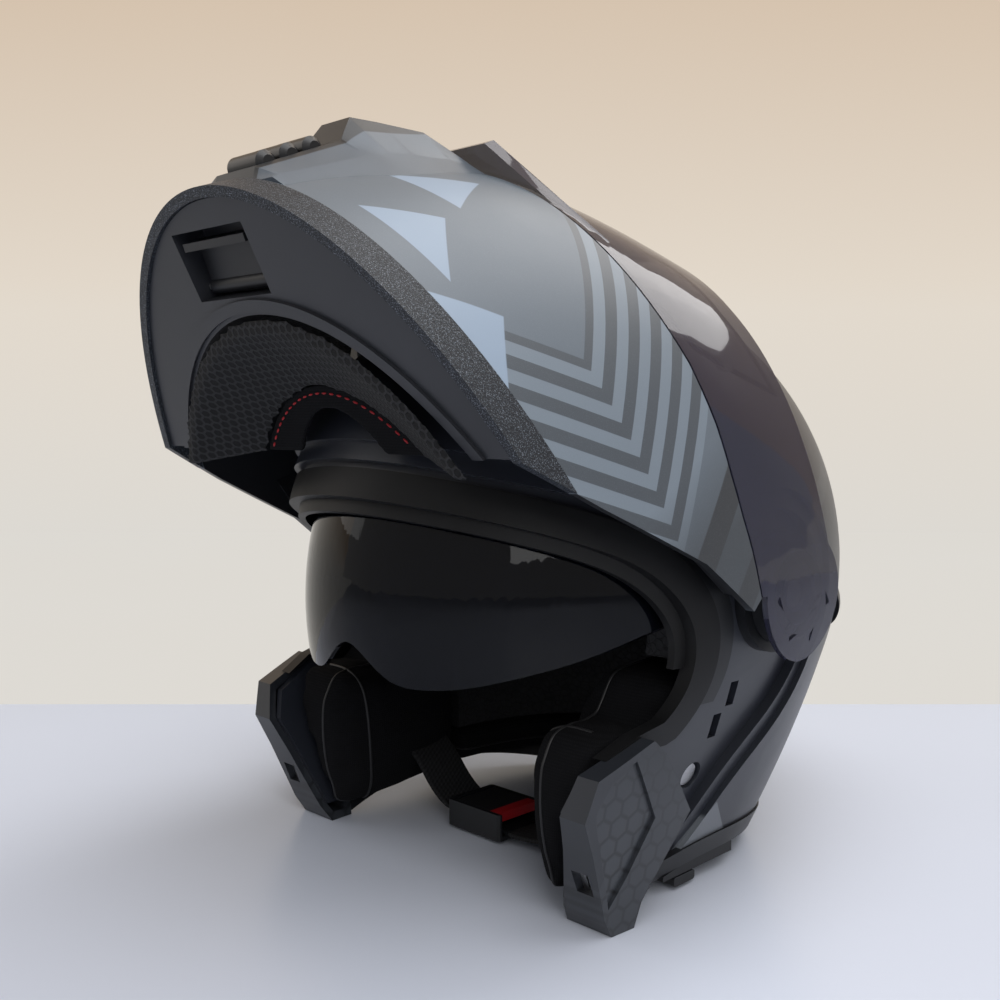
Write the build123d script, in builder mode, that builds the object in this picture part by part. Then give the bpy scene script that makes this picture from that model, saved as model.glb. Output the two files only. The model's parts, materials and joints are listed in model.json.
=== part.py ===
from build123d import *
import math
import os

# Modular motorcycle helmet, standing on its rim with the chin bar raised.
# Millimetres, +Z up, the face looks along -Y and the wearer's left is +X.
os.makedirs("parts", exist_ok=True)

# Shell sizes
shell_half_width = 121.0
shell_rear_length = 137.0
shell_front_length = 137.0
jaw_front_length = 300.0
equator_height = 125.0
dome_height = 130.0
shell_wall = 3.5
seat_step = 7.0
bevel_step = 2.5
bevel_width = 8.0
shell_y = 42.5 - 20.0

# Hinge sizes
pivot_setback = 1.0
pivot_z = 122.0
raise_angle = 68.0
seat_radius = 33.0
base_radius = 24.0
hub_radius = 20.0
visor_hub_radius = 17.0
boss_radius = 12.0
post_radius = 7.0
screw_radius = 2.5
screw_head_radius = 5.5
screw_head_height = 1.8
arm_inner_x = 116.5
arm_thickness = 4.8
boss_height = 3.4
hub_gap = 0.3
running_gap = 0.05
soft_gap = 0.3

# Chin bar and visor sizes, given with the chin bar closed
chin_half_width = 128.0
chin_front_length = 212.0
chin_waist_length = 205.0
chin_brow_length = 190.0
chin_offset = 5.0
chin_wall = 3.5
chin_reach = 206.0
base_slope = 5.4
base_height = 30.0
trim_width = 13.0
trim_proud = 0.6
throat_half_width = 115.0
throat_length = 165.0
visor_thickness = 2.3
visor_height = 76.0
visor_lean = 53.9
visor_curve = 30.2
visor_gap = 0.8
tab_radius = 26.0

# Sun visor sizes
sun_half_width = 106.0
sun_radius = 137.0
sun_thickness = 2.2
sun_setback = 12.0
sun_pivot_z = 112.0
sun_hub_radius = 11.0
sun_pin_radius = 4.0
sun_pin_head = 7.0
sun_pin_height = 2.0

# Rim and linings
rim_height = 9.0
rim_width = 7.5
rim_proud = 1.0
arch_length = 148.0
arch_rise = 11.0
arch_setback = 2.0
foam_gap = 0.4
foam_thickness = 32.0
foam_setback = 3.0
liner_thickness = 7.5
neck_half_width = 68.0
neck_rear_length = 84.0
neck_roll_crown = 7.0

# Places worked out from the sizes
pivot_y = shell_y - pivot_setback
chin_y = shell_y + chin_offset
sun_pivot_y = shell_y + sun_setback
arch_y = shell_y + arch_setback
boundary_z = pivot_z - 7.7
arch_radius = (arch_length / 2) ** 2 / (2 * arch_rise) + arch_rise / 2
far_share = 2.4
beyond = 2 * shell_half_width
hinge_axis = Axis((0, pivot_y, pivot_z), (1, 0, 0))

# Sections of the shell below its widest height, as shares of that height and of its lengths
lower_height_shares = (-0.08, 0.12, 0.28, 0.48, 0.72)
lower_width_shares = (0.66, 0.744, 0.810, 0.884, 0.959)
lower_rear_shares = (0.58, 0.672, 0.759, 0.854, 0.949)
lower_front_shares = (1.0, 1.0, 1.0, 1.0, 0.75)
dome_angles = (0, 12, 24, 36, 48, 60, 72, 84)

# Side outlines, as shares forward of the shell's centre and up from its base
opening_shares = (
    (0.985, 1.344), (0.796, 1.264), (0.613, 1.192), (0.467, 1.112), (0.365, 1.008),
    (0.314, 0.896), (0.314, 0.784), (0.350, 0.688), (0.416, 0.608),
)
jaw_end_shares = (
    (0.526, 0.576), (0.679, 0.496), (0.708, 0.400), (0.661, 0.288), (0.584, 0.072), (0.562, -0.10),
)
roof_shares = ((0.25, 1.25), (0.62, 1.30), (0.83, 1.37), (1.10, 1.47))
step_shares = (
    (-0.088, 0.624), (0.029, 0.496), (0.146, 0.352), (0.255, 0.184), (0.350, 0.096), (0.438, 0.060),
)
jaw_cover_shares = (
    (0.518, 0.600), (0.708, 0.520), (0.737, 0.400), (0.686, 0.280), (0.606, 0.064),
    (0.569, 0.0), (0.482, 0.0), (0.467, 0.080), (0.321, 0.336), (0.467, 0.552),
)
jaw_panel_shares = (
    (0.577, 0.552), (0.471, 0.352), (0.547, 0.184), (0.598, 0.096), (0.661, 0.288),
    (0.704, 0.400), (0.679, 0.500),
)
pad_shares = (
    (0.029, 0.760), (0.321, 0.760), (0.423, 0.640), (0.620, 0.592), (0.672, 0.464),
    (0.657, 0.240), (0.599, 0.050), (0.526, 0.030), (0.073, 0.080), (0.029, 0.240),
)
jaw_height_shares = (-0.08, 0.0, 0.24, 0.52, 0.70)
jaw_width_shares = (0.810, 0.822, 0.868, 0.921, 0.942)


def shell_point(shares):
    """The side-view place of a point given in shares of the shell."""
    return (shell_y - shares[0] * shell_front_length, shares[1] * equator_height)


def chin_point(forward_share, height_share):
    """The side-view place of a point of the closed chin bar, forward of the hinge and up from the base."""
    return (pivot_y - forward_share * chin_reach, height_share * pivot_z)


def shifted(points, distance):
    """The points of an open outline moved sideways by a distance, to the right of its direction."""
    moved = []
    for place, (y, z) in enumerate(points):
        before = points[max(place - 1, 0)]
        after = points[min(place + 1, len(points) - 1)]
        run_y, run_z = after[0] - before[0], after[1] - before[1]
        length = math.hypot(run_y, run_z)
        moved.append((y + distance * run_z / length, z - distance * run_y / length))
    return moved


def oval(plane, half_width, rear_length, front_length):
    """A section of half an ellipse behind the plane's origin and half before it."""
    with BuildSketch(plane) as section:
        with BuildLine():
            EllipticalCenterArc((0, 0), half_width, rear_length, start_angle=0, arc_size=180)
            EllipticalCenterArc((0, 0), half_width, front_length, start_angle=180, arc_size=180)
        make_face()
    return section.sketch


def shell_sections(inset):
    """Heights and sizes of the shell's sections, each drawn in by the inset."""
    rows = []
    for height, width, rear, front in zip(
        lower_height_shares, lower_width_shares, lower_rear_shares, lower_front_shares
    ):
        rows.append((
            height * equator_height,
            width * shell_half_width - inset,
            rear * shell_rear_length - inset,
            front * jaw_front_length - inset,
        ))
    for angle in dome_angles:
        across = math.cos(math.radians(angle))
        up = math.sin(math.radians(angle))
        rows.append((
            equator_height + up * (dome_height - inset),
            across * (shell_half_width - inset),
            across * (shell_rear_length - inset),
            across * (shell_front_length - inset),
        ))
    return rows


def shell_volume(inset):
    """The solid inside the shell's outer surface drawn in by the inset."""
    with BuildPart() as volume:
        loft(sections=[
            oval(Plane((0, shell_y, height)), width, rear, front)
            for height, width, rear, front in shell_sections(inset)
        ])
    return volume.part


def jaw_volume(inset):
    """The solid inside the outer faces of the jaw covers."""
    with BuildPart() as volume:
        loft(sections=[
            oval(
                Plane((0, shell_y, height * equator_height)),
                width * shell_half_width - inset,
                shell_rear_length - inset,
                jaw_front_length - inset,
            )
            for height, width in zip(jaw_height_shares, jaw_width_shares)
        ])
    return volume.part


def side_prism(points, reach=beyond):
    """A prism across the helmet with a side outline of straight lines."""
    with BuildPart() as prism:
        with BuildSketch(Plane.YZ):
            with BuildLine():
                Polyline(*points, close=True)
            make_face()
        extrude(amount=reach, both=True)
    return prism.part


def shrunk_prism(points, distance):
    """A prism whose side outline is the points drawn in by a distance."""
    with BuildPart() as prism:
        with BuildSketch(Plane.YZ):
            with BuildLine():
                Polyline(*points, close=True)
            make_face()
            offset(amount=-distance, kind=Kind.INTERSECTION, mode=Mode.REPLACE)
        extrude(amount=beyond, both=True)
    return prism.part


def curved_prism(curve, corners):
    """A prism across the helmet with one smooth stretch of outline and straight lines that close it."""
    with BuildPart() as prism:
        with BuildSketch(Plane.YZ):
            with BuildLine():
                Spline(*curve)
                Polyline(curve[-1], *corners, curve[0])
            make_face()
        extrude(amount=beyond, both=True)
    return prism.part


def face_opening(shift):
    """The region before the face opening's edge and the jaw's front end, moved back by the shift."""
    edge = shifted([shell_point(p) for p in opening_shares], -shift)
    jaw = shifted([shell_point(p) for p in jaw_end_shares], -shift)
    bottom = shell_point((far_share, jaw_end_shares[-1][1]))
    return curved_prism(edge, jaw + [bottom, (bottom[0], edge[0][1] + shell_wall)])


def seat_region(widen):
    """The region of the recessed seat, ahead of the step in the shell's side, widened by a distance."""
    radius = seat_radius + widen
    start = (pivot_y, pivot_z + radius)
    rear = (pivot_y + radius, pivot_z)
    slant = radius / math.sqrt(2)
    turn = (pivot_y + slant, pivot_z - slant)
    step = shifted([turn] + [shell_point(p) for p in step_shares], -widen)
    step[0] = turn
    floor = shell_point((far_share, step_shares[-1][1]))[1] - widen
    far_y = shell_point((far_share, 0))[0]
    roof = [(y, z + widen) for y, z in (shell_point(p) for p in reversed(roof_shares))]
    with BuildPart() as prism:
        with BuildSketch(Plane.YZ):
            with BuildLine():
                ThreePointArc(start, rear, turn)
                Spline(*step)
                Polyline(step[-1], (far_y, floor), (far_y, roof[0][1]), *roof, start)
            make_face()
        extrude(amount=beyond, both=True)
    return prism.part


def stepped_volume(inset):
    """The shell's volume with the seat's step, drawn in all over by the inset."""
    with BuildPart() as volume:
        add(shell_volume(inset))
        add(seat_region(inset + bevel_width), mode=Mode.SUBTRACT)
        add(shell_volume(inset + seat_step))
    return volume.part


def rim_region(extra):
    """The region below the rim's arched edge, raised by an extra height."""
    with BuildPart() as region:
        with BuildSketch(Plane.YZ):
            with Locations((arch_y, arch_rise - arch_radius)):
                Circle(arch_radius + extra)
            with Locations((shell_y, extra - beyond)):
                Rectangle(2 * beyond, 2 * beyond)
        extrude(amount=beyond, both=True)
    return region.part


def chin_volume(inset):
    """The solid inside the closed chin bar's outer surface drawn in by the inset."""
    rows = (
        (-base_height, chin_front_length),
        (0, chin_front_length),
        (pivot_z / 2, chin_waist_length),
        (boundary_z, chin_brow_length),
        (boundary_z + base_height, chin_brow_length - base_height / 2),
    )
    with BuildPart() as volume:
        loft(sections=[
            oval(Plane((0, chin_y, height)), chin_half_width - inset, chin_half_width, length - inset)
            for height, length in rows
        ])
    return volume.part


def visor_volume(inset):
    """The solid inside the closed visor's outer surface drawn in by the inset."""
    sections = []
    for share in (-0.5, 0.0, 0.3, 0.6, 0.85, 1.1):
        rise = share * visor_height
        lean = visor_lean * rise / 100 + visor_curve * max(rise, 0) * rise / 100 ** 2
        plane = Plane((0, chin_y, boundary_z + rise))
        sections.append(oval(plane, chin_half_width - inset, chin_half_width, chin_brow_length - lean - inset))
    with BuildPart() as volume:
        loft(sections=sections)
    return volume.part


def sun_volume(inset):
    """The solid of revolution about the sun visor's hinge that its lens belongs to."""
    centre = Vector(0, sun_pivot_y, sun_pivot_z)
    with BuildPart() as volume:
        with BuildSketch(Plane(centre)):
            with BuildLine():
                EllipticalCenterArc(
                    (0, 0), sun_half_width - inset, sun_radius - inset, start_angle=0, arc_size=180
                )
                Line((inset - sun_half_width, 0), (sun_half_width - inset, 0))
            make_face()
        revolve(axis=Axis(centre, (1, 0, 0)))
    return volume.part


def disc(centre_y, centre_z, radius, from_x, to_x):
    """A cylinder along X, from one distance from the middle to another."""
    with BuildPart() as cylinder:
        with BuildSketch(Plane.YZ.offset(from_x)):
            with Locations((centre_y, centre_z)):
                Circle(radius)
        extrude(amount=to_x - from_x)
    return cylinder.part


def keep(name, label):
    """Label a finished piece and write it."""
    name.part.label = label
    export_step(name.part, f"parts/{label}.step")


def keep_raised(closed, label):
    """Turn a piece of the closed chin bar up about the hinge, then write it."""
    with BuildPart() as name:
        add(closed.part.rotate(hinge_axis, -raise_angle))
    keep(name, label)


def keep_pair(left, label, raised=False):
    """Write a left piece and its mirror image on the right."""
    with BuildPart() as right:
        add(left.part.mirror(Plane.YZ))
    for name, side in ((left, "left"), (right, "right")):
        if raised:
            keep_raised(name, f"{label}_{side}")
        else:
            keep(name, f"{label}_{side}")




# Shared volumes of the shell, made once
shell_skin = shell_volume(0)
seat_surface = shell_volume(seat_step)
seat_lining = shell_volume(seat_step + shell_wall)
opening = face_opening(0)
jaw_skin = jaw_volume(0)
cover_outline = [shell_point(p) for p in jaw_cover_shares]
pad_outline = [shell_point(p) for p in pad_shares]

# Outer shell: the skin steps down over a bevelled band to the seat of the hinge, jaw covers and visor
jaw_hole_y, jaw_hole_z = shell_point((0.219, 0.400))
jaw_hole_radius = 5.6
slot_width = 5.0
slot_height = 10.0
slot_places = (shell_point((0.13, 0.66)), shell_point((0.175, 0.56)))

with BuildPart() as bevel:
    add(shell_volume(bevel_step))
    add(seat_region(0), mode=Mode.SUBTRACT)
with BuildPart() as outer_shell:
    add(shell_skin)
    add(seat_region(bevel_width), mode=Mode.SUBTRACT)
    add(bevel.part)
    add(seat_surface)
    add(stepped_volume(shell_wall), mode=Mode.SUBTRACT)
    add(opening, mode=Mode.SUBTRACT)
    add(rim_region(rim_height), mode=Mode.SUBTRACT)
    for side in (1, -1):
        add(disc(jaw_hole_y, jaw_hole_z, jaw_hole_radius, 0, side * beyond), mode=Mode.SUBTRACT)
        add(disc(pivot_y, pivot_z, screw_radius, 0, side * beyond), mode=Mode.SUBTRACT)
        for slot_y, slot_z in slot_places:
            with Locations((side * (shell_half_width - 2 * seat_step), slot_y, slot_z)):
                Box(4 * seat_step, slot_width, slot_height, mode=Mode.SUBTRACT)
keep(outer_shell, "outer_shell")

# Rim trim: an edge strip along the arched base, proud of the shell
with BuildPart() as base_trim:
    add(shell_volume(-rim_proud))
    add(rim_region(rim_height), mode=Mode.INTERSECT)
    add(rim_region(0), mode=Mode.SUBTRACT)
    add(shell_volume(rim_width), mode=Mode.SUBTRACT)
    add(face_opening(rim_height), mode=Mode.SUBTRACT)
    add(side_prism(cover_outline), mode=Mode.SUBTRACT)
keep(base_trim, "base_trim")

# Jaw covers: hollow caps over the seat, folded in at the front
cover_wall = 3.5
panel_depth = 1.5
latch_slot_height = 9.0
latch_slot_width = 8.0
latch_height = 22.0
latch_x = 91.0


with BuildPart() as cover_hollow:
    add(jaw_volume(cover_wall))
    add(shrunk_prism(cover_outline, cover_wall), mode=Mode.INTERSECT)
with BuildPart() as jaw_covers:
    add(jaw_skin)
    add(side_prism(cover_outline), mode=Mode.INTERSECT)
    add(seat_surface, mode=Mode.SUBTRACT)
    add(cover_hollow.part, mode=Mode.SUBTRACT)
with BuildPart() as cover_panel:
    add(side_prism([shell_point(p) for p in jaw_panel_shares]))
    add(jaw_volume(panel_depth), mode=Mode.SUBTRACT)
with BuildPart() as jaw_cover_left:
    add(jaw_covers.part)
    add(cover_panel.part, mode=Mode.SUBTRACT)
    with Locations((-beyond / 2, 0, 0)):
        Box(beyond, 2 * beyond, 2 * beyond, mode=Mode.SUBTRACT)
    with Locations((latch_x, cover_outline[3][0], latch_height)):
        Box(latch_slot_width, seat_radius, latch_slot_height, mode=Mode.SUBTRACT)
keep_pair(jaw_cover_left, "jaw_cover")

# Brow gasket: a rubber channel over the opening's edge, with a second lip inside it
gasket_proud = 2.4
gasket_reach = 8.0
gasket_edge = 4.0
gasket_lip = 5.0
gasket_depth = 2.0

gasket_floor = shell_point(pad_shares[0])[1] + gasket_depth
with BuildPart() as shell_edge:
    add(seat_surface)
    add(seat_lining, mode=Mode.SUBTRACT)
    add(opening, mode=Mode.SUBTRACT)
with BuildPart() as gasket_side:
    add(shell_volume(seat_step - gasket_proud))
    add(face_opening(-gasket_edge), mode=Mode.SUBTRACT)
    add(face_opening(gasket_reach), mode=Mode.INTERSECT)
    add(shell_volume(seat_step + shell_wall + foam_gap), mode=Mode.SUBTRACT)
    add(shell_edge.part, mode=Mode.SUBTRACT)
    with Locations((0, shell_y - beyond, cover_outline[-1][1])):
        Box(
            2 * beyond, 2 * beyond, gasket_floor - cover_outline[-1][1], mode=Mode.INTERSECT,
            align=(Align.CENTER, Align.CENTER, Align.MIN),
        )
    add(side_prism(cover_outline), mode=Mode.SUBTRACT)
with BuildPart() as gasket_inner_lip:
    add(shell_volume(seat_step + gasket_proud))
    add(face_opening(-gasket_edge - gasket_lip), mode=Mode.SUBTRACT)
with BuildPart() as brow_gasket:
    add(shell_volume(seat_step - gasket_proud))
    add(face_opening(-gasket_edge), mode=Mode.SUBTRACT)
    add(gasket_inner_lip.part)
    add(face_opening(gasket_reach), mode=Mode.INTERSECT)
    add(shell_volume(seat_step + shell_wall + gasket_depth), mode=Mode.SUBTRACT)
    add(shell_edge.part, mode=Mode.SUBTRACT)
    with Locations((0, shell_y - beyond, gasket_floor)):
        Box(
            2 * beyond, 2 * beyond, dome_height, mode=Mode.INTERSECT,
            align=(Align.CENTER, Align.CENTER, Align.MIN),
        )
    add(gasket_side.part)
keep(brow_gasket, "brow_gasket")

# Face mouldings: strips beside the opening, over the seat
moulding_reach = 16.0
moulding_proud = 1.6
moulding_floor = 82.0
moulding_height = 60.0

with BuildPart() as face_moulding_left:
    add(face_opening(moulding_reach))
    add(face_opening(gasket_reach + soft_gap), mode=Mode.SUBTRACT)
    with Locations((0, shell_y - beyond, moulding_floor)):
        Box(beyond, 2 * beyond, moulding_height, mode=Mode.INTERSECT, align=Align.MIN)
    add(shell_volume(seat_step - moulding_proud), mode=Mode.INTERSECT)
    add(seat_surface, mode=Mode.SUBTRACT)
keep_pair(face_moulding_left, "face_moulding")

# Hinge bases: discs on the seat with a post that the chin bar turns on
base_top = arm_inner_x - hub_gap
post_top = arm_inner_x + arm_thickness + hub_gap
with BuildPart() as hinge_base_left:
    add(disc(pivot_y, pivot_z, base_radius, shell_half_width - 2 * seat_step, base_top))
    add(disc(pivot_y, pivot_z, post_radius, base_top, post_top))
    add(seat_surface, mode=Mode.SUBTRACT)
    add(disc(pivot_y, pivot_z, screw_radius, 0, beyond), mode=Mode.SUBTRACT)
keep_pair(hinge_base_left, "hinge_base")

# Hinge screws through post, base and shell
with BuildPart() as hinge_screws:
    for side in (1, -1):
        screw_end = side * (shell_half_width - seat_step - shell_wall + 2 * hub_gap)
        add(disc(pivot_y, pivot_z, screw_radius, screw_end, side * post_top))
        add(disc(pivot_y, pivot_z, screw_head_radius, side * post_top, side * (post_top + screw_head_height)))
keep(hinge_screws, "hinge_screws")

# Top vent: a low plate on the crown with a sliding shutter
vent_y = shell_y - 24.5
vent_half_width = 23.0
vent_length = 44.0
vent_base_rise = 1.6
vent_slider_width = 26.0
vent_slider_length = 12.0
vent_slider_rise = 3.9
vent_slider_y = vent_y + 9.0
vent_travel = 10.0
vent_clearance = 0.65
with BuildPart() as top_vent_base:
    add(shell_volume(-vent_base_rise))
    with BuildSketch(Plane.XY.offset(equator_height)):
        with Locations((0, vent_y)):
            RectangleRounded(2 * vent_half_width, vent_length, boss_radius)
    extrude(amount=beyond, mode=Mode.INTERSECT)
    add(shell_skin, mode=Mode.SUBTRACT)
keep(top_vent_base, "top_vent_base")
with BuildPart() as top_vent_slider:
    add(shell_volume(-vent_slider_rise))
    with BuildSketch(Plane.XY.offset(equator_height)):
        with Locations((0, vent_slider_y)):
            RectangleRounded(vent_slider_width, vent_slider_length, boss_radius / 4)
    extrude(amount=beyond, mode=Mode.INTERSECT)
    add(shell_volume(-vent_base_rise - vent_clearance), mode=Mode.SUBTRACT)
keep(top_vent_slider, "top_vent_slider")

# Rear exhaust spoiler: a swept band across the back
spoiler_half_width = 118.0
spoiler_length = 145.0
spoiler_floor = 96.0
spoiler_height = 22.0
spoiler_taper = 6.0
spoiler_front = shell_y + 70.0
with BuildPart() as rear_spoiler:
    spoiler_rows = ((0, spoiler_taper), (0.25, 0), (0.75, 0.5), (1, spoiler_taper + 1))
    loft(sections=[
        oval(
            Plane((0, shell_y, spoiler_floor + share * spoiler_height)),
            spoiler_half_width - drop, spoiler_length - drop, spoiler_length - drop,
        )
        for share, drop in spoiler_rows
    ])
    add(shell_skin, mode=Mode.SUBTRACT)
    with Locations((-beyond, spoiler_front, 0)):
        Box(2 * beyond, beyond, 2 * beyond, mode=Mode.INTERSECT, align=Align.MIN)
keep(rear_spoiler, "rear_spoiler")

# Sun visor: a lens of one surface of revolution about its hinge, with a nose arch
sun_outline_shares = (
    (-0.05, -0.077), (0.354, -0.029), (0.453, -0.234), (1.055, -0.234), (1.055, 0.496),
    (0.927, 0.460), (0.672, 0.387), (0.380, 0.204), (0.160, 0.088), (-0.05, 0.077),
)
sun_edge_shares = (
    (0.0, -0.066), (0.094, -0.102), (0.208, -0.164), (0.330, -0.175), (0.472, -0.161),
    (0.632, -0.124), (0.764, -0.080), (0.849, -0.036), (0.925, 0.015),
)
sun_cut_y = sun_pivot_y - 0.40 * sun_radius
sun_edge = [(sun_half_width * x, sun_pivot_z + sun_radius * z) for x, z in sun_edge_shares]
sun_outline = [(sun_pivot_y - sun_radius * y, sun_pivot_z + sun_radius * z) for y, z in sun_outline_shares]
with BuildPart() as sun_visor:
    add(side_prism(sun_outline))
    add(disc(sun_pivot_y, sun_pivot_z, sun_hub_radius, -beyond, beyond))
    add(sun_volume(0), mode=Mode.INTERSECT)
    add(sun_volume(sun_thickness), mode=Mode.SUBTRACT)
    with BuildSketch(Plane.XZ.offset(-sun_cut_y)):
        with BuildLine():
            Spline(*[(-x, z) for x, z in reversed(sun_edge[1:])], *sun_edge)
            far_x, far_z = sun_edge[-1]
            Polyline((far_x, far_z), (far_x, -far_z), (-far_x, -far_z), (-far_x, far_z))
        make_face()
    extrude(amount=beyond, mode=Mode.SUBTRACT)
    for side in (1, -1):
        pin_hole = sun_pin_radius + running_gap
        add(disc(sun_pivot_y, sun_pivot_z, pin_hole, 0, side * beyond), mode=Mode.SUBTRACT)
keep(sun_visor, "sun_visor")

# Sun visor pins: headed posts on the inner walls of the shell
pin_head_x = sun_half_width - sun_thickness - 2 * hub_gap
with BuildPart() as sun_visor_pins:
    for side in (1, -1):
        add(disc(sun_pivot_y, sun_pivot_z, sun_pin_radius, side * (pin_head_x - sun_pin_height),
                 side * shell_half_width))
        add(disc(sun_pivot_y, sun_pivot_z, sun_pin_head, side * (pin_head_x - sun_pin_height),
                 side * pin_head_x))
    add(seat_lining, mode=Mode.INTERSECT)
keep(sun_visor_pins, "sun_visor_pins")

# Impact foam: fills the shell round the head, with a pocket for the raised sun visor
foam_inset = shell_wall + foam_gap
head_inset = foam_inset + foam_thickness
cheek_back = shell_y - 2.0
cheek_top = 97.0
foam_floor = 31.0
pocket_clearance = 2.0
sun_swing_radius = 27.0
pocket_top_angle = 107.0
pocket_low_angle = 228.0
pocket_reach = 200.0
neck_front_length = 200.0
with BuildPart() as head_space:
    add(shell_volume(head_inset))
    neck_section = oval(
        Plane((0, shell_y, -foam_floor)), neck_half_width, neck_rear_length, neck_front_length
    )
    extrude(neck_section, amount=foam_floor + equator_height)
pocket_rim = [(sun_pivot_y, sun_pivot_z)]
for angle in (pocket_top_angle, (pocket_top_angle + pocket_low_angle) / 2, pocket_low_angle):
    turn = math.radians(angle)
    pocket_rim.append((sun_pivot_y + pocket_reach * math.cos(turn), sun_pivot_z + pocket_reach * math.sin(turn)))
with BuildPart() as sun_pocket:
    add(side_prism(pocket_rim))
    add(sun_volume(sun_thickness + pocket_clearance), mode=Mode.SUBTRACT)
with BuildPart() as eps_liner:
    add(stepped_volume(foam_inset))
    add(head_space.part, mode=Mode.SUBTRACT)
    add(sun_pocket.part, mode=Mode.SUBTRACT)
    add(face_opening(foam_setback + gasket_depth), mode=Mode.SUBTRACT)
    with Locations((-beyond, -2 * beyond, -beyond)):
        Box(2 * beyond, 2 * beyond + cheek_back, beyond + cheek_top, mode=Mode.SUBTRACT, align=Align.MIN)
    with Locations((-beyond, -beyond, -beyond)):
        Box(2 * beyond, 3 * beyond, beyond + foam_floor, mode=Mode.SUBTRACT, align=Align.MIN)
    for side in (1, -1):
        pin_depth = pin_head_x - sun_pin_height - pocket_clearance
        add(disc(sun_pivot_y, sun_pivot_z, sun_swing_radius, side * pin_depth, side * beyond),
            mode=Mode.SUBTRACT)
    add(brow_gasket.part, mode=Mode.SUBTRACT)
keep(eps_liner, "eps_liner")

# Crown liner: the padded lining inside the foam
liner_floor = 112.0
liner_setback = 9.0
with BuildPart() as comfort_liner:
    add(shell_volume(head_inset + soft_gap))
    add(shell_volume(head_inset + liner_thickness), mode=Mode.SUBTRACT)
    add(face_opening(liner_setback), mode=Mode.SUBTRACT)
    with Locations((-beyond, -beyond, -beyond)):
        Box(2 * beyond, 3 * beyond, beyond + liner_floor, mode=Mode.SUBTRACT, align=Align.MIN)
keep(comfort_liner, "comfort_liner")

# Neck roll: a crowned pad round the back of the rim
roll_floor = arch_rise + 1.0
roll_height = foam_floor - soft_gap - roll_floor
roll_shares = ((0, 0.35), (0.25, 0.9), (0.6, 1.0), (1, 0.3))
with BuildPart() as roll_hollow:
    loft(sections=[
        oval(
            Plane((0, shell_y, roll_floor + share * roll_height)),
            neck_half_width - crown * neck_roll_crown,
            neck_rear_length - crown * neck_roll_crown,
            neck_rear_length,
        )
        for share, crown in roll_shares
    ])
with BuildPart() as neck_roll:
    add(shell_volume(rim_width + soft_gap))
    add(roll_hollow.part, mode=Mode.SUBTRACT)
    with Locations((-beyond, pad_outline[0][0] + soft_gap, roll_floor)):
        Box(2 * beyond, beyond, roll_height, mode=Mode.INTERSECT, align=Align.MIN)
keep(neck_roll, "neck_roll")

# Cheek pads: crowned cushions on the jaw walls, with a slit for the strap
pad_crown_shares = (0.70, 0.87, 0.97, 1.0)
pad_crown_width = 14.0
pad_inner_x = 56.0
pad_corner = 5.0
strap_width = 25.0
strap_thickness = 2.0
strap_y = jaw_hole_y
rivet_radius = 4.6
rivet_depth = 1.5
strap_path_left = (
    (shell_half_width - 34.0, jaw_hole_z), (53.0, 26.0), (40.0, 11.0), (24.0, 6.0), (6.0, 5.0),
)
strap_path_right = (
    (-shell_half_width + 34.0, jaw_hole_z), (-53.0, 26.0), (-42.0, 12.0), (-31.0, 8.0),
)
anchor_radius = 6.0
anchor_depth = 3.0
pad_middle_y = sum(y for y, z in pad_outline) / len(pad_outline)
pad_middle_z = sum(z for y, z in pad_outline) / len(pad_outline)


def pad_section(x, share):
    """The cushion's side outline at a distance from the middle, shrunk by a share about its centre."""
    with BuildSketch(Plane.YZ.offset(x)) as section:
        with BuildLine():
            Polyline(
                *[
                    (pad_middle_y + share * (y - pad_middle_y), pad_middle_z + share * (z - pad_middle_z))
                    for y, z in pad_outline
                ],
                close=True,
            )
        make_face()
        fillet(section.vertices(), radius=share * pad_corner)
    return section.sketch


def ribbon(path, width, thickness, reach=0):
    """A flat strip whose front-view path is given, as wide as the strap."""
    points = list(path)
    if reach:
        run_x, run_z = points[0][0] - points[1][0], points[0][1] - points[1][1]
        length = math.hypot(run_x, run_z)
        points = [
            (points[0][0] + reach * run_x / length, points[0][1] + reach * run_z / length),
            (points[1][0] - reach * run_x / length, points[1][1] - reach * run_z / length),
        ]
    with BuildPart() as strip:
        with BuildSketch(Plane.XZ.offset(-strap_y - width / 2)):
            with BuildLine():
                path_line = Polyline(*points)
                offset(path_line, amount=thickness / 2, side=Side.BOTH)
            make_face()
        extrude(amount=width)
    return strip.part


pad_widths = (0, 0.25, 0.55, 1.0)
with BuildPart() as cheek_pad_left:
    loft(
        sections=[
            pad_section(pad_inner_x + share * pad_crown_width, size)
            for share, size in zip(pad_widths, pad_crown_shares)
        ],
        ruled=True,
    )
    pad_back = pad_section(pad_inner_x + pad_crown_width, pad_crown_shares[-1])
    extrude(pad_back, amount=shell_half_width - pad_inner_x - pad_crown_width)
    add(shell_volume(seat_step + shell_wall + 2 * foam_gap), mode=Mode.INTERSECT)
    slit_width = strap_width + 4 * soft_gap
    add(ribbon(strap_path_left, slit_width, strap_thickness + 2 * soft_gap, shell_wall), mode=Mode.SUBTRACT)
    anchor_clear = anchor_radius + soft_gap
    add(disc(strap_y, strap_path_left[0][1], anchor_clear, strap_path_left[0][0] - soft_gap, beyond),
        mode=Mode.SUBTRACT)
keep_pair(cheek_pad_left, "cheek_pad")

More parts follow.
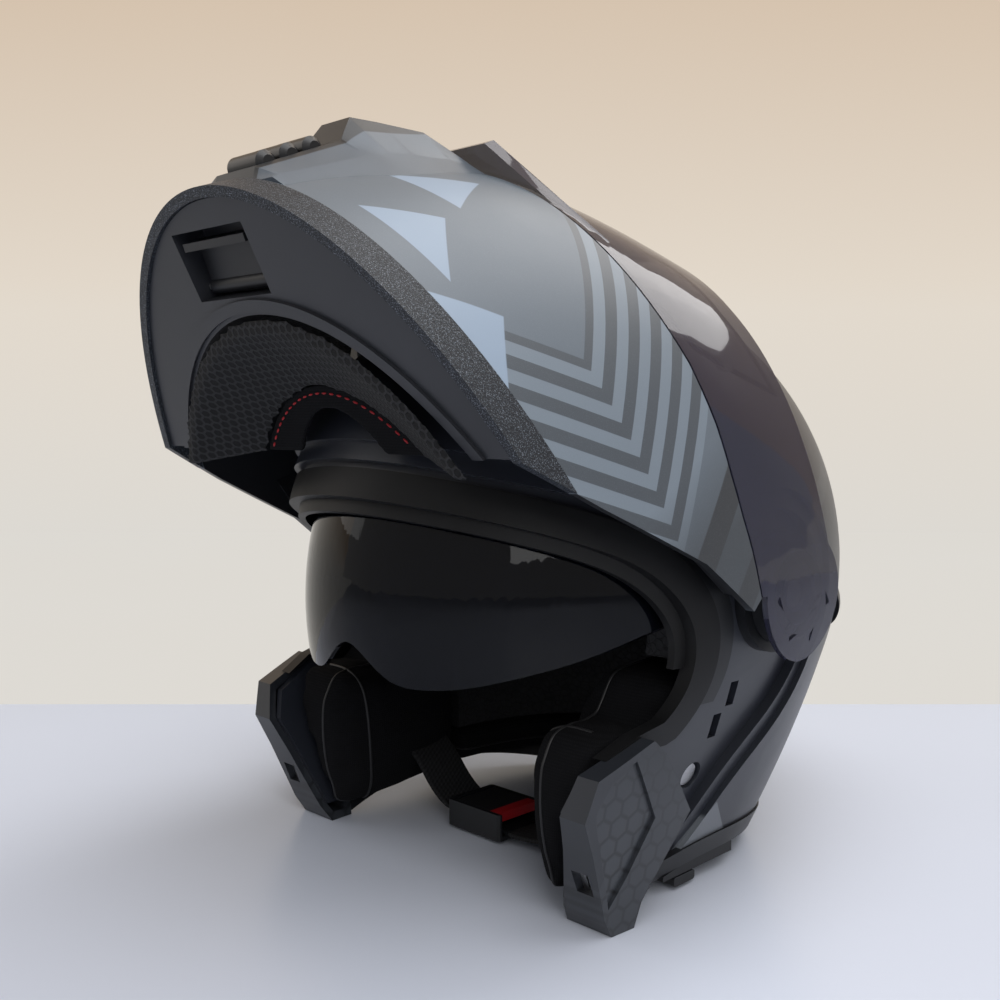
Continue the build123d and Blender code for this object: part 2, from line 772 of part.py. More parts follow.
# Strap anchors: rivets at the upper ends of the straps, whose heads show in the holes of the shell
with BuildPart() as rivet_heads:
    for end_x, end_z in (strap_path_left[0], strap_path_right[0]):
        side = math.copysign(1, end_x)
        rivet_x = end_x + side * strap_thickness / 2
        add(disc(strap_y, end_z, rivet_radius, rivet_x, side * shell_half_width))
    add(shell_volume(seat_step + rivet_depth), mode=Mode.INTERSECT)
with BuildPart() as strap_anchors:
    for end_x, end_z in (strap_path_left[0], strap_path_right[0]):
        side = math.copysign(1, end_x)
        anchor_x = end_x + side * strap_thickness / 2
        add(disc(strap_y, end_z, anchor_radius, anchor_x, side * shell_half_width))
    add(shell_volume(seat_step + shell_wall), mode=Mode.INTERSECT)
    add(rivet_heads.part)
keep(strap_anchors, "strap_anchors")

# Chin strap: webbing from the anchors through the pads to the buckle
buckle_y = strap_y
tongue_length = 26.0
buckle_length = 34.0
buckle_width = 29.0
buckle_height = 12.0
buckle_floor = 1.5
buckle_wall = 2.0
tongue_thickness = 2.0
lever_tab_height = 4.0
buckle_axle_radius = 1.5
with BuildPart() as strap_left:
    add(ribbon(strap_path_left, strap_width, strap_thickness))
keep(strap_left, "strap_left")
with BuildPart() as strap_right:
    add(ribbon(strap_path_right, strap_width, strap_thickness))
keep(strap_right, "strap_right")
strap_end_x = strap_path_right[-1][0] + strap_thickness / 2
tongue_end_x = strap_path_left[-1][0] - strap_thickness / 2
tongue_end_z = strap_path_left[-1][1]
axle_x = strap_end_x + 2 * buckle_wall + lever_tab_height
axle_z = buckle_floor + buckle_height - lever_tab_height / 2
with BuildPart() as buckle_body:
    with Locations((strap_end_x, buckle_y, buckle_floor)):
        Box(
            buckle_length, buckle_width, buckle_height,
            align=(Align.MIN, Align.CENTER, Align.MIN),
        )
    fillet(buckle_body.edges().filter_by(Axis.Z), radius=buckle_wall)
    with Locations((strap_end_x + buckle_wall, buckle_y, buckle_floor + buckle_wall)):
        Box(
            buckle_length, buckle_width - 2 * buckle_wall, buckle_height,
            align=(Align.MIN, Align.CENTER, Align.MIN), mode=Mode.SUBTRACT,
        )
    with Locations((axle_x, buckle_y, axle_z)):
        Cylinder(buckle_axle_radius, buckle_width, rotation=(90, 0, 0))
keep(buckle_body, "buckle_body")
with BuildPart() as buckle_tongue:
    with Locations((tongue_end_x, buckle_y, tongue_end_z)):
        Box(
            tongue_length, strap_width - 2 * buckle_wall, tongue_thickness,
            align=(Align.MAX, Align.CENTER, Align.CENTER),
        )
keep(buckle_tongue, "buckle_tongue")
with BuildPart() as buckle_lever:
    with Locations((axle_x - lever_tab_height + running_gap, buckle_y, axle_z)):
        Box(
            buckle_length - 3 * buckle_wall, buckle_width - 2 * buckle_wall - 2 * soft_gap,
            lever_tab_height, align=(Align.MIN, Align.CENTER, Align.CENTER),
        )
    with Locations((axle_x, buckle_y, axle_z)):
        Cylinder(
            buckle_axle_radius + running_gap, 2 * buckle_width, rotation=(90, 0, 0), mode=Mode.SUBTRACT,
        )
keep(buckle_lever, "buckle_lever")

# Sun visor lever under the left rim, with its slotted guide
guide_length = 48.0
guide_width = 7.0
guide_floor = 6.0
guide_slot = 3.4
guide_y = shell_y - 12.5
lever_travel = 20.0
lever_length = 14.0
lever_floor = 1.8
guide_x = 0.70 * shell_half_width
lever_y = guide_y - lever_travel / 2
with BuildPart() as lever_guide:
    with Locations((guide_x, guide_y, guide_floor)):
        Box(guide_width, guide_length, arch_rise, align=(Align.CENTER, Align.CENTER, Align.MIN))
    with Locations((guide_x, guide_y, guide_floor)):
        Box(
            guide_slot, lever_travel + lever_length, 2 * arch_rise,
            align=(Align.CENTER, Align.CENTER, Align.CENTER), mode=Mode.SUBTRACT,
        )
    add(rim_region(0), mode=Mode.INTERSECT)
keep(lever_guide, "lever_guide")
with BuildPart() as sun_visor_lever:
    with Locations((guide_x, lever_y, lever_floor)):
        Box(
            guide_width + 2 * soft_gap, lever_length, guide_floor - lever_floor - soft_gap,
            align=(Align.CENTER, Align.CENTER, Align.MIN),
        )
    fillet(sun_visor_lever.edges().filter_by(Axis.X), radius=soft_gap * 4)
    with Locations((guide_x, lever_y, guide_floor - 2 * soft_gap)):
        Box(
            guide_slot - 4 * running_gap, lever_length - 2 * buckle_wall, buckle_wall + soft_gap,
            align=(Align.CENTER, Align.CENTER, Align.MIN),
        )
keep(sun_visor_lever, "sun_visor_lever")

# Chin bar: every piece is drawn closed and then turned up about the hinge
chin_rear_shares = ((0.500, 0.110), (0.374, 0.295), (0.189, 0.590), (0.053, 0.730))
boundary_shares = (
    (0.063, 0.781), (0.150, 0.803), (0.218, 0.815), (0.286, 0.836), (0.377, 0.874),
    (0.485, 0.905), (0.893, 0.937), (1.400, 0.937),
)
under_shares = ((0.2, 0.156), (1.5, -0.044))
chin_under = [chin_point(*p) for p in under_shares]
chin_outline = (
    [chin_point(*p) for p in chin_rear_shares]
    + [chin_point(*p) for p in boundary_shares]
    + [(chin_under[1][0], chin_point(*boundary_shares[-1])[1]), chin_under[1]]
)


def under_prism(rise):
    """The region below the chin bar's lower edge, raised by a distance."""
    (back_y, back_z), (front_y, front_z) = chin_under
    return side_prism([
        (back_y, back_z + rise), (front_y, front_z + rise), (front_y, -pivot_z), (back_y, -pivot_z),
    ])


chin_side = side_prism(chin_outline)
chin_inner = chin_volume(chin_wall + hub_gap)
with BuildPart() as chin_throat:
    extrude(oval(Plane((0, chin_y, -pivot_z)), throat_half_width, throat_length, throat_length),
            amount=3 * pivot_z)

with BuildPart() as chin_shell:
    add(chin_volume(0))
    add(chin_volume(chin_wall), mode=Mode.SUBTRACT)
    add(chin_side, mode=Mode.INTERSECT)
    add(under_prism(trim_width + hub_gap), mode=Mode.SUBTRACT)
keep_raised(chin_shell, "chin_shell")

with BuildPart() as chin_trim:
    add(chin_volume(-trim_proud))
    add(chin_volume(chin_wall), mode=Mode.SUBTRACT)
    add(chin_side, mode=Mode.INTERSECT)
    add(under_prism(trim_width), mode=Mode.INTERSECT)
keep_raised(chin_trim, "chin_trim")

# Charcoal base of the chin bar with the lever pocket, the hook pockets and a bead round the mouth
under_rise = 1.4
chin_base_top = 34.0
chin_end_shares = ((0.502, 0.06), (0.502, 0.115), (0.519, 0.410), (0.481, 0.656), (0.408, 0.852))
chin_end = [chin_point(*p) for p in chin_end_shares]
far_front = chin_under[1][0]
bead_outer = 6.0
bead_inner = 1.5
hook_pin_share = 0.5
recess_x = -7.0
recess_width = 46.0
recess_front = chin_y - 198.0
recess_back = recess_front + 26.0
recess_depth = 20.0
hook_x = latch_x
hook_width = 6.4
hook_height = 6.0
hook_length = 13.0
hook_chamfer = 2.0
hook_pin_radius = 1.5
hook_room = 5.2
hook_pocket = 50.0
hook_pin_y = chin_end[0][0] - soft_gap - hook_pin_share * hook_length
with BuildPart() as end_region:
    add(side_prism(chin_end + [(far_front, chin_end[-1][1]), (far_front, chin_end[0][1])]))
with BuildPart() as base_bead:
    extrude(
        oval(Plane((0, chin_y, -pivot_z)), throat_half_width + bead_outer,
             throat_length + bead_outer, throat_length + bead_outer),
        amount=2 * pivot_z,
    )
    extrude(
        oval(Plane((0, chin_y, -pivot_z)), throat_half_width + bead_inner,
             throat_length + bead_inner, throat_length + bead_inner),
        amount=2 * pivot_z, mode=Mode.SUBTRACT,
    )
    add(under_prism(0), mode=Mode.SUBTRACT)
with BuildPart() as chin_base:
    add(chin_inner)
    add(under_prism(under_rise), mode=Mode.SUBTRACT)
    add(base_bead.part)
    add(chin_throat.part, mode=Mode.SUBTRACT)
    add(side_prism([
        chin_end[0], chin_end[1], chin_point(0.515, chin_base_top / pivot_z),
        (far_front, chin_base_top), (far_front, -chin_base_top), (chin_end[0][0], -chin_base_top),
    ]), mode=Mode.INTERSECT)
    add(chin_inner, mode=Mode.INTERSECT)
    with Locations((recess_x, recess_front, -recess_depth)):
        Box(
            recess_width, recess_back - recess_front, 2 * recess_depth,
            align=(Align.CENTER, Align.MIN, Align.MIN), mode=Mode.SUBTRACT,
        )
    for side in (1, -1):
        with Locations((side * hook_x, chin_end[0][0], latch_height)):
            Box(hook_width + 2 * soft_gap, hook_pocket, 2 * hook_room, mode=Mode.SUBTRACT)
        with Locations((side * hook_x, hook_pin_y, latch_height)):
            Cylinder(hook_pin_radius, hook_width + 2 * hook_pin_radius, rotation=(0, 90, 0))
keep_raised(chin_base, "chin_base")

with BuildPart() as chin_foam:
    add(chin_inner)
    add(chin_throat.part, mode=Mode.SUBTRACT)
    add(side_prism([
        chin_point(0.517, chin_base_top / pivot_z), *chin_end[2:],
        (far_front, chin_end[-1][1]), (far_front, chin_base_top),
    ]), mode=Mode.INTERSECT)
    with Locations((-beyond, 2 * far_front, -beyond)):
        Box(2 * beyond, 4 * beyond, beyond + chin_base_top + soft_gap, align=Align.MIN, mode=Mode.SUBTRACT)
keep_raised(chin_foam, "chin_foam")

# Mesh pad and breath guard inside the mouth of the chin bar
mesh_floor = 9.0
mesh_height = 17.0
mesh_draw = 28.0
mesh_thickness = 7.0
mesh_back = chin_end[1][0] + 6.0
guard_thickness = 3.0
guard_half_width = 82.0
guard_length = 132.0
guard_mouth_width = 50.0
guard_mouth_length = 122.0


def mesh_cone(inset):
    """The tapering volume that the mesh pad lines."""
    with BuildPart() as cone:
        loft(sections=[
            oval(
                Plane((0, chin_y, mesh_floor + share * mesh_height)),
                throat_half_width - inset - share * mesh_draw,
                throat_length - inset - share * mesh_draw,
                throat_length - inset - share * mesh_draw,
            )
            for share in (-0.1, 1.0)
        ])
    return cone.part


with BuildPart() as mesh_zone:
    with Locations((-beyond, mesh_back - beyond, mesh_floor)):
        Box(2 * beyond, beyond, mesh_height, align=Align.MIN)
with BuildPart() as chin_mesh_pad:
    add(mesh_cone(soft_gap))
    add(mesh_cone(mesh_thickness), mode=Mode.SUBTRACT)
    add(mesh_zone.part, mode=Mode.INTERSECT)
keep_raised(chin_mesh_pad, "chin_mesh_pad")

guard_plane = Plane((0, chin_y, mesh_floor + mesh_height + soft_gap))
with BuildPart() as breath_guard:
    extrude(oval(guard_plane, guard_half_width, guard_length, guard_length), amount=guard_thickness)
    extrude(
        oval(guard_plane, guard_mouth_width, guard_mouth_length, guard_mouth_length),
        amount=guard_thickness, mode=Mode.SUBTRACT,
    )
    with Locations((-beyond, mesh_back - beyond, 0)):
        Box(2 * beyond, beyond, beyond, align=Align.MIN, mode=Mode.INTERSECT)
keep_raised(breath_guard, "breath_guard")

# Chin vent: a ridge down the middle of the chin bar, with a ribbed slider in its lower face
vent_flank_width = 40.0
vent_crease_width = 24.0
vent_nose_width = 12.0
vent_root_share = 0.735
vent_row_shares = (
    (0.158, 0.985, 0.984, 0.929, 1.00), (0.180, 1.007, 0.985, 0.927, 1.00),
    (0.508, 1.007, 0.970, 0.908, 1.00), (0.590, 1.039, 0.961, 0.900, 0.72),
    (0.680, 1.018, 0.947, 0.886, 0.80), (0.828, 0.976, 0.917, 0.858, 1.15),
    (0.916, 0.912, 0.893, 0.838, 1.60),
)
slider_width = 22.0
slider_length = 32.0
slider_plate = 1.2
slider_travel = 4.0
slider_gap = 0.3
rib_radius = 4.4
rib_end = 2.0
rib_pitch = 10.6
face_low = chin_point(*vent_row_shares[1][1::-1])
face_high = chin_point(*vent_row_shares[2][1::-1])
vent_face_y = face_low[0]
vent_face_z = (face_low[1] + face_high[1]) / 2
slider_z = vent_face_z - slider_travel / 2


def vent_section(height_share, crest_share, crease_share, flank_share, nose_share):
    """A level section of the ridge: a nose, two creases and two flanks, open to the chin bar behind."""
    height = chin_point(0, height_share)[1]
    half = [
        (vent_nose_width * nose_share, chin_point(crest_share, 0)[0]),
        (vent_crease_width, chin_point(crease_share, 0)[0]),
        (vent_flank_width, chin_point(flank_share, 0)[0]),
        (vent_flank_width, chin_point(vent_root_share, 0)[0]),
    ]
    with BuildSketch(Plane((0, 0, height))) as section:
        with BuildLine():
            Polyline(*half, *[(-x, y) for x, y in reversed(half)], close=True)
        make_face()
    return section.sketch


with BuildPart() as chin_vent_cover:
    loft(sections=[vent_section(*row) for row in vent_row_shares], ruled=True)
    add(chin_volume(0), mode=Mode.SUBTRACT)
    with Locations((0, vent_face_y, vent_face_z)):
        Box(
            slider_width + 2 * slider_gap, 2 * slider_plate, slider_length + slider_travel + 2 * slider_gap,
            mode=Mode.SUBTRACT,
        )
keep_raised(chin_vent_cover, "chin_vent_cover")
with BuildPart() as chin_vent_ribs:
    with BuildSketch(Plane.YZ):
        with Locations(*[(vent_face_y, slider_z + step * rib_pitch) for step in (-1, 0, 1)]):
            Circle(rib_radius)
    extrude(amount=slider_width / 2, both=True)
    chamfer(chin_vent_ribs.edges().filter_by(GeomType.CIRCLE), length=rib_end)
    with Locations((0, vent_face_y, slider_z)):
        Box(
            slider_width, 2 * rib_radius, slider_length, mode=Mode.SUBTRACT,
            align=(Align.CENTER, Align.MIN, Align.CENTER),
        )
    with Locations((0, vent_face_y + slider_plate - running_gap, slider_z)):
        Box(
            slider_width, slider_plate - running_gap, slider_length,
            align=(Align.CENTER, Align.MAX, Align.CENTER),
        )
keep_raised(chin_vent_ribs, "chin_vent_ribs")

# Release lever in its pocket, on a cross pin
lever_width = recess_width - 6.0
lever_reach = 18.0
lever_thickness = 3.0
lever_hook = 8.0
lever_axis_y = recess_back - 4.0
lever_axis_z = recess_depth - 4.0
lever_pin_radius = 1.5
with BuildPart() as release_pin:
    with Locations((recess_x, lever_axis_y, lever_axis_z)):
        Cylinder(lever_pin_radius, recess_width, rotation=(0, 90, 0))
keep_raised(release_pin, "release_pin")
with BuildPart() as release_lever:
    with Locations((recess_x, lever_axis_y, lever_axis_z)):
        Cylinder(lever_thickness, lever_width, rotation=(0, 90, 0))
    with Locations((recess_x, lever_axis_y - lever_reach, lever_axis_z)):
        Box(
            lever_width, lever_reach, lever_thickness,
            align=(Align.CENTER, Align.MIN, Align.CENTER),
        )
    with Locations((recess_x, lever_axis_y - lever_reach, lever_axis_z - lever_hook)):
        Box(
            lever_width, lever_thickness, lever_hook,
            align=(Align.CENTER, Align.MIN, Align.MIN),
        )
    with Locations((recess_x, lever_axis_y, lever_axis_z)):
        Cylinder(
            lever_pin_radius + running_gap, 2 * recess_width, rotation=(0, 90, 0), mode=Mode.SUBTRACT,
        )
keep_raised(release_lever, "release_lever")

# Latch hooks on cross pins in the ends of the base, and the plates that they catch in the jaws
with BuildPart() as latch_hook_left:
    with Locations((hook_x, chin_end[0][0] - soft_gap, latch_height)):
        Box(
            hook_width, hook_length, hook_height,
            align=(Align.CENTER, Align.MAX, Align.CENTER),
        )
    chamfer(latch_hook_left.edges().group_by(Axis.Y)[-1].filter_by(Axis.X), length=hook_chamfer)
    with Locations((hook_x, hook_pin_y, latch_height)):
        Cylinder(
            hook_pin_radius + running_gap, 2 * hook_width, rotation=(0, 90, 0), mode=Mode.SUBTRACT,
        )
keep_pair(latch_hook_left, "latch_hook", raised=True)

plate_thickness = 1.5
plate_margin = 3.0
front_top = Vector(0, *cover_outline[3])
front_foot = Vector(0, *cover_outline[4])
front_run = (front_foot - front_top).normalized()
front_in = Vector(0, -front_run.Z, front_run.Y)
plate_spot = front_top + front_run * ((front_top.Z - latch_height) / -front_run.Z)
plate_plane = Plane(
    origin=Vector(latch_x, 0, 0) + plate_spot + front_in * cover_wall, x_dir=(1, 0, 0), z_dir=front_in
)
with BuildPart() as latch_plate_left:
    with BuildSketch(plate_plane):
        Rectangle(latch_slot_width - soft_gap, latch_slot_height + 2 * plate_margin)
        Rectangle(latch_slot_width - 2 * plate_margin, latch_slot_height, mode=Mode.SUBTRACT)
    extrude(amount=plate_thickness)
keep_pair(latch_plate_left, "latch_plate")

# Chin arms: plates from the hinge posts to the sides of the chin shell, with a boss for the visor
arm_shares = (
    (0.056, 0.844), (0.201, 0.770), (0.337, 0.754), (0.376, 0.656), (0.357, 0.508),
    (0.226, 0.574), (0.085, 0.721), (0.036, 0.852),
)
arm_outer_x = arm_inner_x + arm_thickness
with BuildPart() as chin_arm_left:
    with BuildSketch(Plane.YZ.offset(arm_inner_x)):
        with BuildLine():
            Polyline(*[chin_point(*p) for p in arm_shares], close=True)
        make_face()
        with Locations((pivot_y, pivot_z)):
            Circle(hub_radius)
    extrude(amount=arm_thickness)
    add(disc(pivot_y, pivot_z, boss_radius, arm_outer_x, arm_outer_x + boss_height))
    add(chin_inner, mode=Mode.INTERSECT)
    add(disc(pivot_y, pivot_z, post_radius + running_gap, 0, beyond), mode=Mode.SUBTRACT)
keep_pair(chin_arm_left, "chin_arm", raised=True)

# Visor: a curved lens over the chin bar's hinge, with a lip to lift it by
visor_top_shares = (
    (-0.034, 1.172), (0.112, 1.213), (0.243, 1.254), (0.359, 1.299), (0.500, 1.364),
    (0.590, 1.429), (0.626, 1.493), (0.612, 1.558), (1.400, 1.558),
)
lip_half_width = 30.0
lip_root_width = 75.0
lip_root_reach = 145.5
lip_reach = 191.0
lip_rise = 1.2
lip_height = 5.5
visor_low = [
    (y, z + visor_gap) for y, z in (chin_point(*p) for p in boundary_shares)
]
visor_outline = (
    list(reversed(visor_low)) + [chin_point(*p) for p in visor_top_shares]
)
visor_inner = visor_volume(visor_thickness)
mark_shares = (252, 307, 357, 56)
mark_radius = 17.5
mark_size = 3.0
mark_depth = 1.0
with BuildPart() as visor_side:
    add(side_prism(visor_outline))
    add(disc(pivot_y, pivot_z, tab_radius, -beyond, beyond))
with BuildPart() as visor_lens:
    add(visor_side.part)
    add(visor_volume(0), mode=Mode.INTERSECT)
    with BuildSketch(Plane.XY.offset(boundary_z + lip_rise)):
        with BuildLine():
            Polyline(
                (-lip_root_width, pivot_y - lip_root_reach), (-lip_half_width, pivot_y - lip_reach),
                (lip_half_width, pivot_y - lip_reach), (lip_root_width, pivot_y - lip_root_reach), close=True,
            )
        make_face()
    extrude(amount=lip_height)
    add(visor_inner, mode=Mode.SUBTRACT)
    for side in (1, -1):
        with BuildSketch(Plane.YZ.offset(side * (chin_half_width - mark_depth))):
            for angle in mark_shares:
                turn = math.radians(angle)
                with Locations(Location(
                    (pivot_y + mark_radius * math.cos(turn), pivot_z + mark_radius * math.sin(turn)),
                    angle + raise_angle / 2,
                )):
                    Triangle(a=mark_size, b=2 * mark_size, c=2 * mark_size)
        extrude(amount=side * 2 * mark_depth, mode=Mode.SUBTRACT)
keep_raised(visor_lens, "visor_lens")

# Visor hubs: rings on the lens that turn on the bosses of the chin arms
with BuildPart() as visor_hub_left:
    add(disc(pivot_y, pivot_z, visor_hub_radius, arm_outer_x + hub_gap, chin_half_width))
    add(visor_inner, mode=Mode.INTERSECT)
    add(disc(pivot_y, pivot_z, boss_radius + running_gap, 0, beyond), mode=Mode.SUBTRACT)
keep_pair(visor_hub_left, "visor_hub", raised=True)

# Anti-fog insert inside the lens, on a seal bead and two pins
insert_shares = (
    (1.354, 0.967), (0.621, 0.967), (0.490, 1.008), (0.437, 1.090), (0.335, 1.279),
    (0.500, 1.311), (0.587, 1.377), (0.612, 1.443), (0.592, 1.508), (1.354, 1.508),
)
insert_thickness = 1.0
seal_height = 0.8
seal_width = 1.8
insert_pin_radius = 3.0
insert_pin_depth = 3.6
pin_bore = insert_pin_radius + running_gap
insert_outline = [chin_point(*p) for p in insert_shares]
insert_pin_y, insert_pin_z = chin_point(0.437, 1.120)
with BuildPart() as antifog_insert:
    add(visor_volume(visor_thickness + seal_height))
    add(visor_volume(visor_thickness + seal_height + insert_thickness), mode=Mode.SUBTRACT)
    add(side_prism(insert_outline), mode=Mode.INTERSECT)
    add(disc(insert_pin_y, insert_pin_z, pin_bore, -beyond, beyond), mode=Mode.SUBTRACT)
keep_raised(antifog_insert, "antifog_insert")
with BuildPart() as insert_seal:
    add(visor_volume(visor_thickness + running_gap))
    add(visor_volume(visor_thickness + seal_height), mode=Mode.SUBTRACT)
    add(side_prism(insert_outline), mode=Mode.INTERSECT)
    add(shrunk_prism(insert_outline, seal_width), mode=Mode.SUBTRACT)
    add(disc(insert_pin_y, insert_pin_z, pin_bore, -beyond, beyond), mode=Mode.SUBTRACT)
keep_raised(insert_seal, "insert_seal")
with BuildPart() as insert_pins:
    add(disc(insert_pin_y, insert_pin_z, insert_pin_radius, -beyond, beyond))
    add(visor_inner, mode=Mode.INTERSECT)
    add(visor_volume(visor_thickness + insert_pin_depth), mode=Mode.SUBTRACT)
keep_raised(insert_pins, "insert_pins")
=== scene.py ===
"""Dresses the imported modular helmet: smooth shells, padding, seams, finishes, light and camera.

Lengths are in metres, except the corners of painted shapes and the bends of the straps, which are in
millimetres. The front of the helmet looks along -Y, and the wearer's left is +X.
"""

import json
import logging
import math
from dataclasses import dataclass, field
from enum import Enum
from typing import Any, Dict, List, Optional, Sequence, Tuple, Union

import bmesh
import bpy
from mathutils import Matrix, Vector

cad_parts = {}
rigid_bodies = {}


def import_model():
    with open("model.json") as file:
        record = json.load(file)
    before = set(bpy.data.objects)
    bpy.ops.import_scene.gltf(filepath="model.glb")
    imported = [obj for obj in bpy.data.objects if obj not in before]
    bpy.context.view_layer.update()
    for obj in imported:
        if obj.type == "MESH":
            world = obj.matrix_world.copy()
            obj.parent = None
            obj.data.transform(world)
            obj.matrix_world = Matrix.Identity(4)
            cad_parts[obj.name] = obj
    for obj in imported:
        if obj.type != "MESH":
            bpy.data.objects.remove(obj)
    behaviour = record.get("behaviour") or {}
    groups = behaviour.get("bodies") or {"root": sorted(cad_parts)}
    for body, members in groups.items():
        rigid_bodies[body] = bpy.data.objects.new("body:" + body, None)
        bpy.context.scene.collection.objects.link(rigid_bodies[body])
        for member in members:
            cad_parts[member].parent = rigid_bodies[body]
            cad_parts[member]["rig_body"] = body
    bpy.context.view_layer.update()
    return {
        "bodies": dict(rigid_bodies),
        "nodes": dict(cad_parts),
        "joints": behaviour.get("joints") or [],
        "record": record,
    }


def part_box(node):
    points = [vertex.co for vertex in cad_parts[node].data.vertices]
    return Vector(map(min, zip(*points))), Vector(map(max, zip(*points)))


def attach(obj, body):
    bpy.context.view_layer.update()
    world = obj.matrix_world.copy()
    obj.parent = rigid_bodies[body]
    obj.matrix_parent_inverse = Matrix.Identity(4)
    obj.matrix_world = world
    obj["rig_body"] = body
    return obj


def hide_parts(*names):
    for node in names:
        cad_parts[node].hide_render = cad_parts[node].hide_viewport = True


log = logging.getLogger("helmet")

Colour = Tuple[float, float, float]
Point = Tuple[float, float]
Value = Union[float, int, Sequence[float], "Sock"]

MM = 0.001
PIVOT = Vector((0.0, 0.0215, 0.122))  # a point of the chin bar's hinge line
RAISE = math.radians(68.0)  # how far the chin bar stands up at rest
LINE = 0.3 * MM  # soft edge of a painted line
WELD = 0.02 * MM  # vertices nearer than this are one
SLIVER = 0.01 * MM  # edges shorter than this are dropped
ALL_SMOOTH = 180.0  # degrees: no edge stays sharp
TAB_LENGTH = 6.0 * MM


class Side(Enum):
    """The wearer's two sides."""

    LEFT = 1
    RIGHT = -1

    @property
    def tag(self) -> str:
        """The word that ends the names of pieces on this side."""
        return self.name.lower()


class Look(Enum):
    """The finishes that a piece can have."""

    SHELL = "shell"
    CHIN = "chin"
    TRIM = "trim"
    JAW = "jaw"
    DARK = "dark"
    BASE = "base"
    VENT = "vent"
    RUBBER = "rubber"
    RIBS = "ribs"
    TAB = "tab"
    STEEL = "steel"
    FOAM = "foam"
    KNIT = "knit"
    PAD = "pad"
    PIPING = "piping"
    MESH = "mesh"
    WEBBING = "webbing"
    VISOR = "visor"
    SUN = "sun"
    INSERT = "insert"
    SEAL = "seal"
    THREAD = "thread"
    TACK = "tack"


@dataclass
class Sock:
    """A node's output, with arithmetic that adds Math nodes."""

    tree: "Finish"
    out: Any

    def _maths(self, operation: str, other: Value, flip: bool = False) -> "Sock":
        """Joins this output and another value by one Math node."""
        pair = (other, self) if flip else (self, other)
        return self.tree.node("ShaderNodeMath", {"operation": operation}, dict(enumerate(pair)))

    def __add__(self, other: Value) -> "Sock":
        """Adds."""
        return self._maths("ADD", other)

    __radd__ = __add__

    def __sub__(self, other: Value) -> "Sock":
        """Subtracts."""
        return self._maths("SUBTRACT", other)

    def __rsub__(self, other: Value) -> "Sock":
        """Is subtracted from a value."""
        return self._maths("SUBTRACT", other, True)

    def __mul__(self, other: Value) -> "Sock":
        """Multiplies."""
        return self._maths("MULTIPLY", other)

    __rmul__ = __mul__

    def __truediv__(self, other: Value) -> "Sock":
        """Divides."""
        return self._maths("DIVIDE", other)

    def largest(self, other: Value) -> "Sock":
        """The larger of two."""
        return self._maths("MAXIMUM", other)

    def smallest(self, other: Value) -> "Sock":
        """The smaller of two."""
        return self._maths("MINIMUM", other)

    def fold(self) -> "Sock":
        """The absolute value."""
        return self._maths("ABSOLUTE", 0.0)

    def cycle(self, period: float) -> "Sock":
        """Distance past the last whole period, from 0 to 1."""
        return (self / period)._maths("FLOORED_MODULO", 1.0)

    def wave(self, period: float) -> "Sock":
        """A sine of the given period, from -1 to 1."""
        return (self * (2 * math.pi / period))._maths("SINE", 0.0)

    def above(self, edge: float, soft: float = 0.2 * MM) -> "Sock":
        """0 below an edge and 1 above it, over a soft width."""
        settings = {"operation": "MULTIPLY_ADD", "use_clamp": True}
        return self.tree.node("ShaderNodeMath", settings, {0: self, 1: 1 / soft, 2: 0.5 - edge / soft})

    def below(self, edge: float, soft: float = 0.2 * MM) -> "Sock":
        """1 below an edge and 0 above it."""
        return 1.0 - self.above(edge, soft)


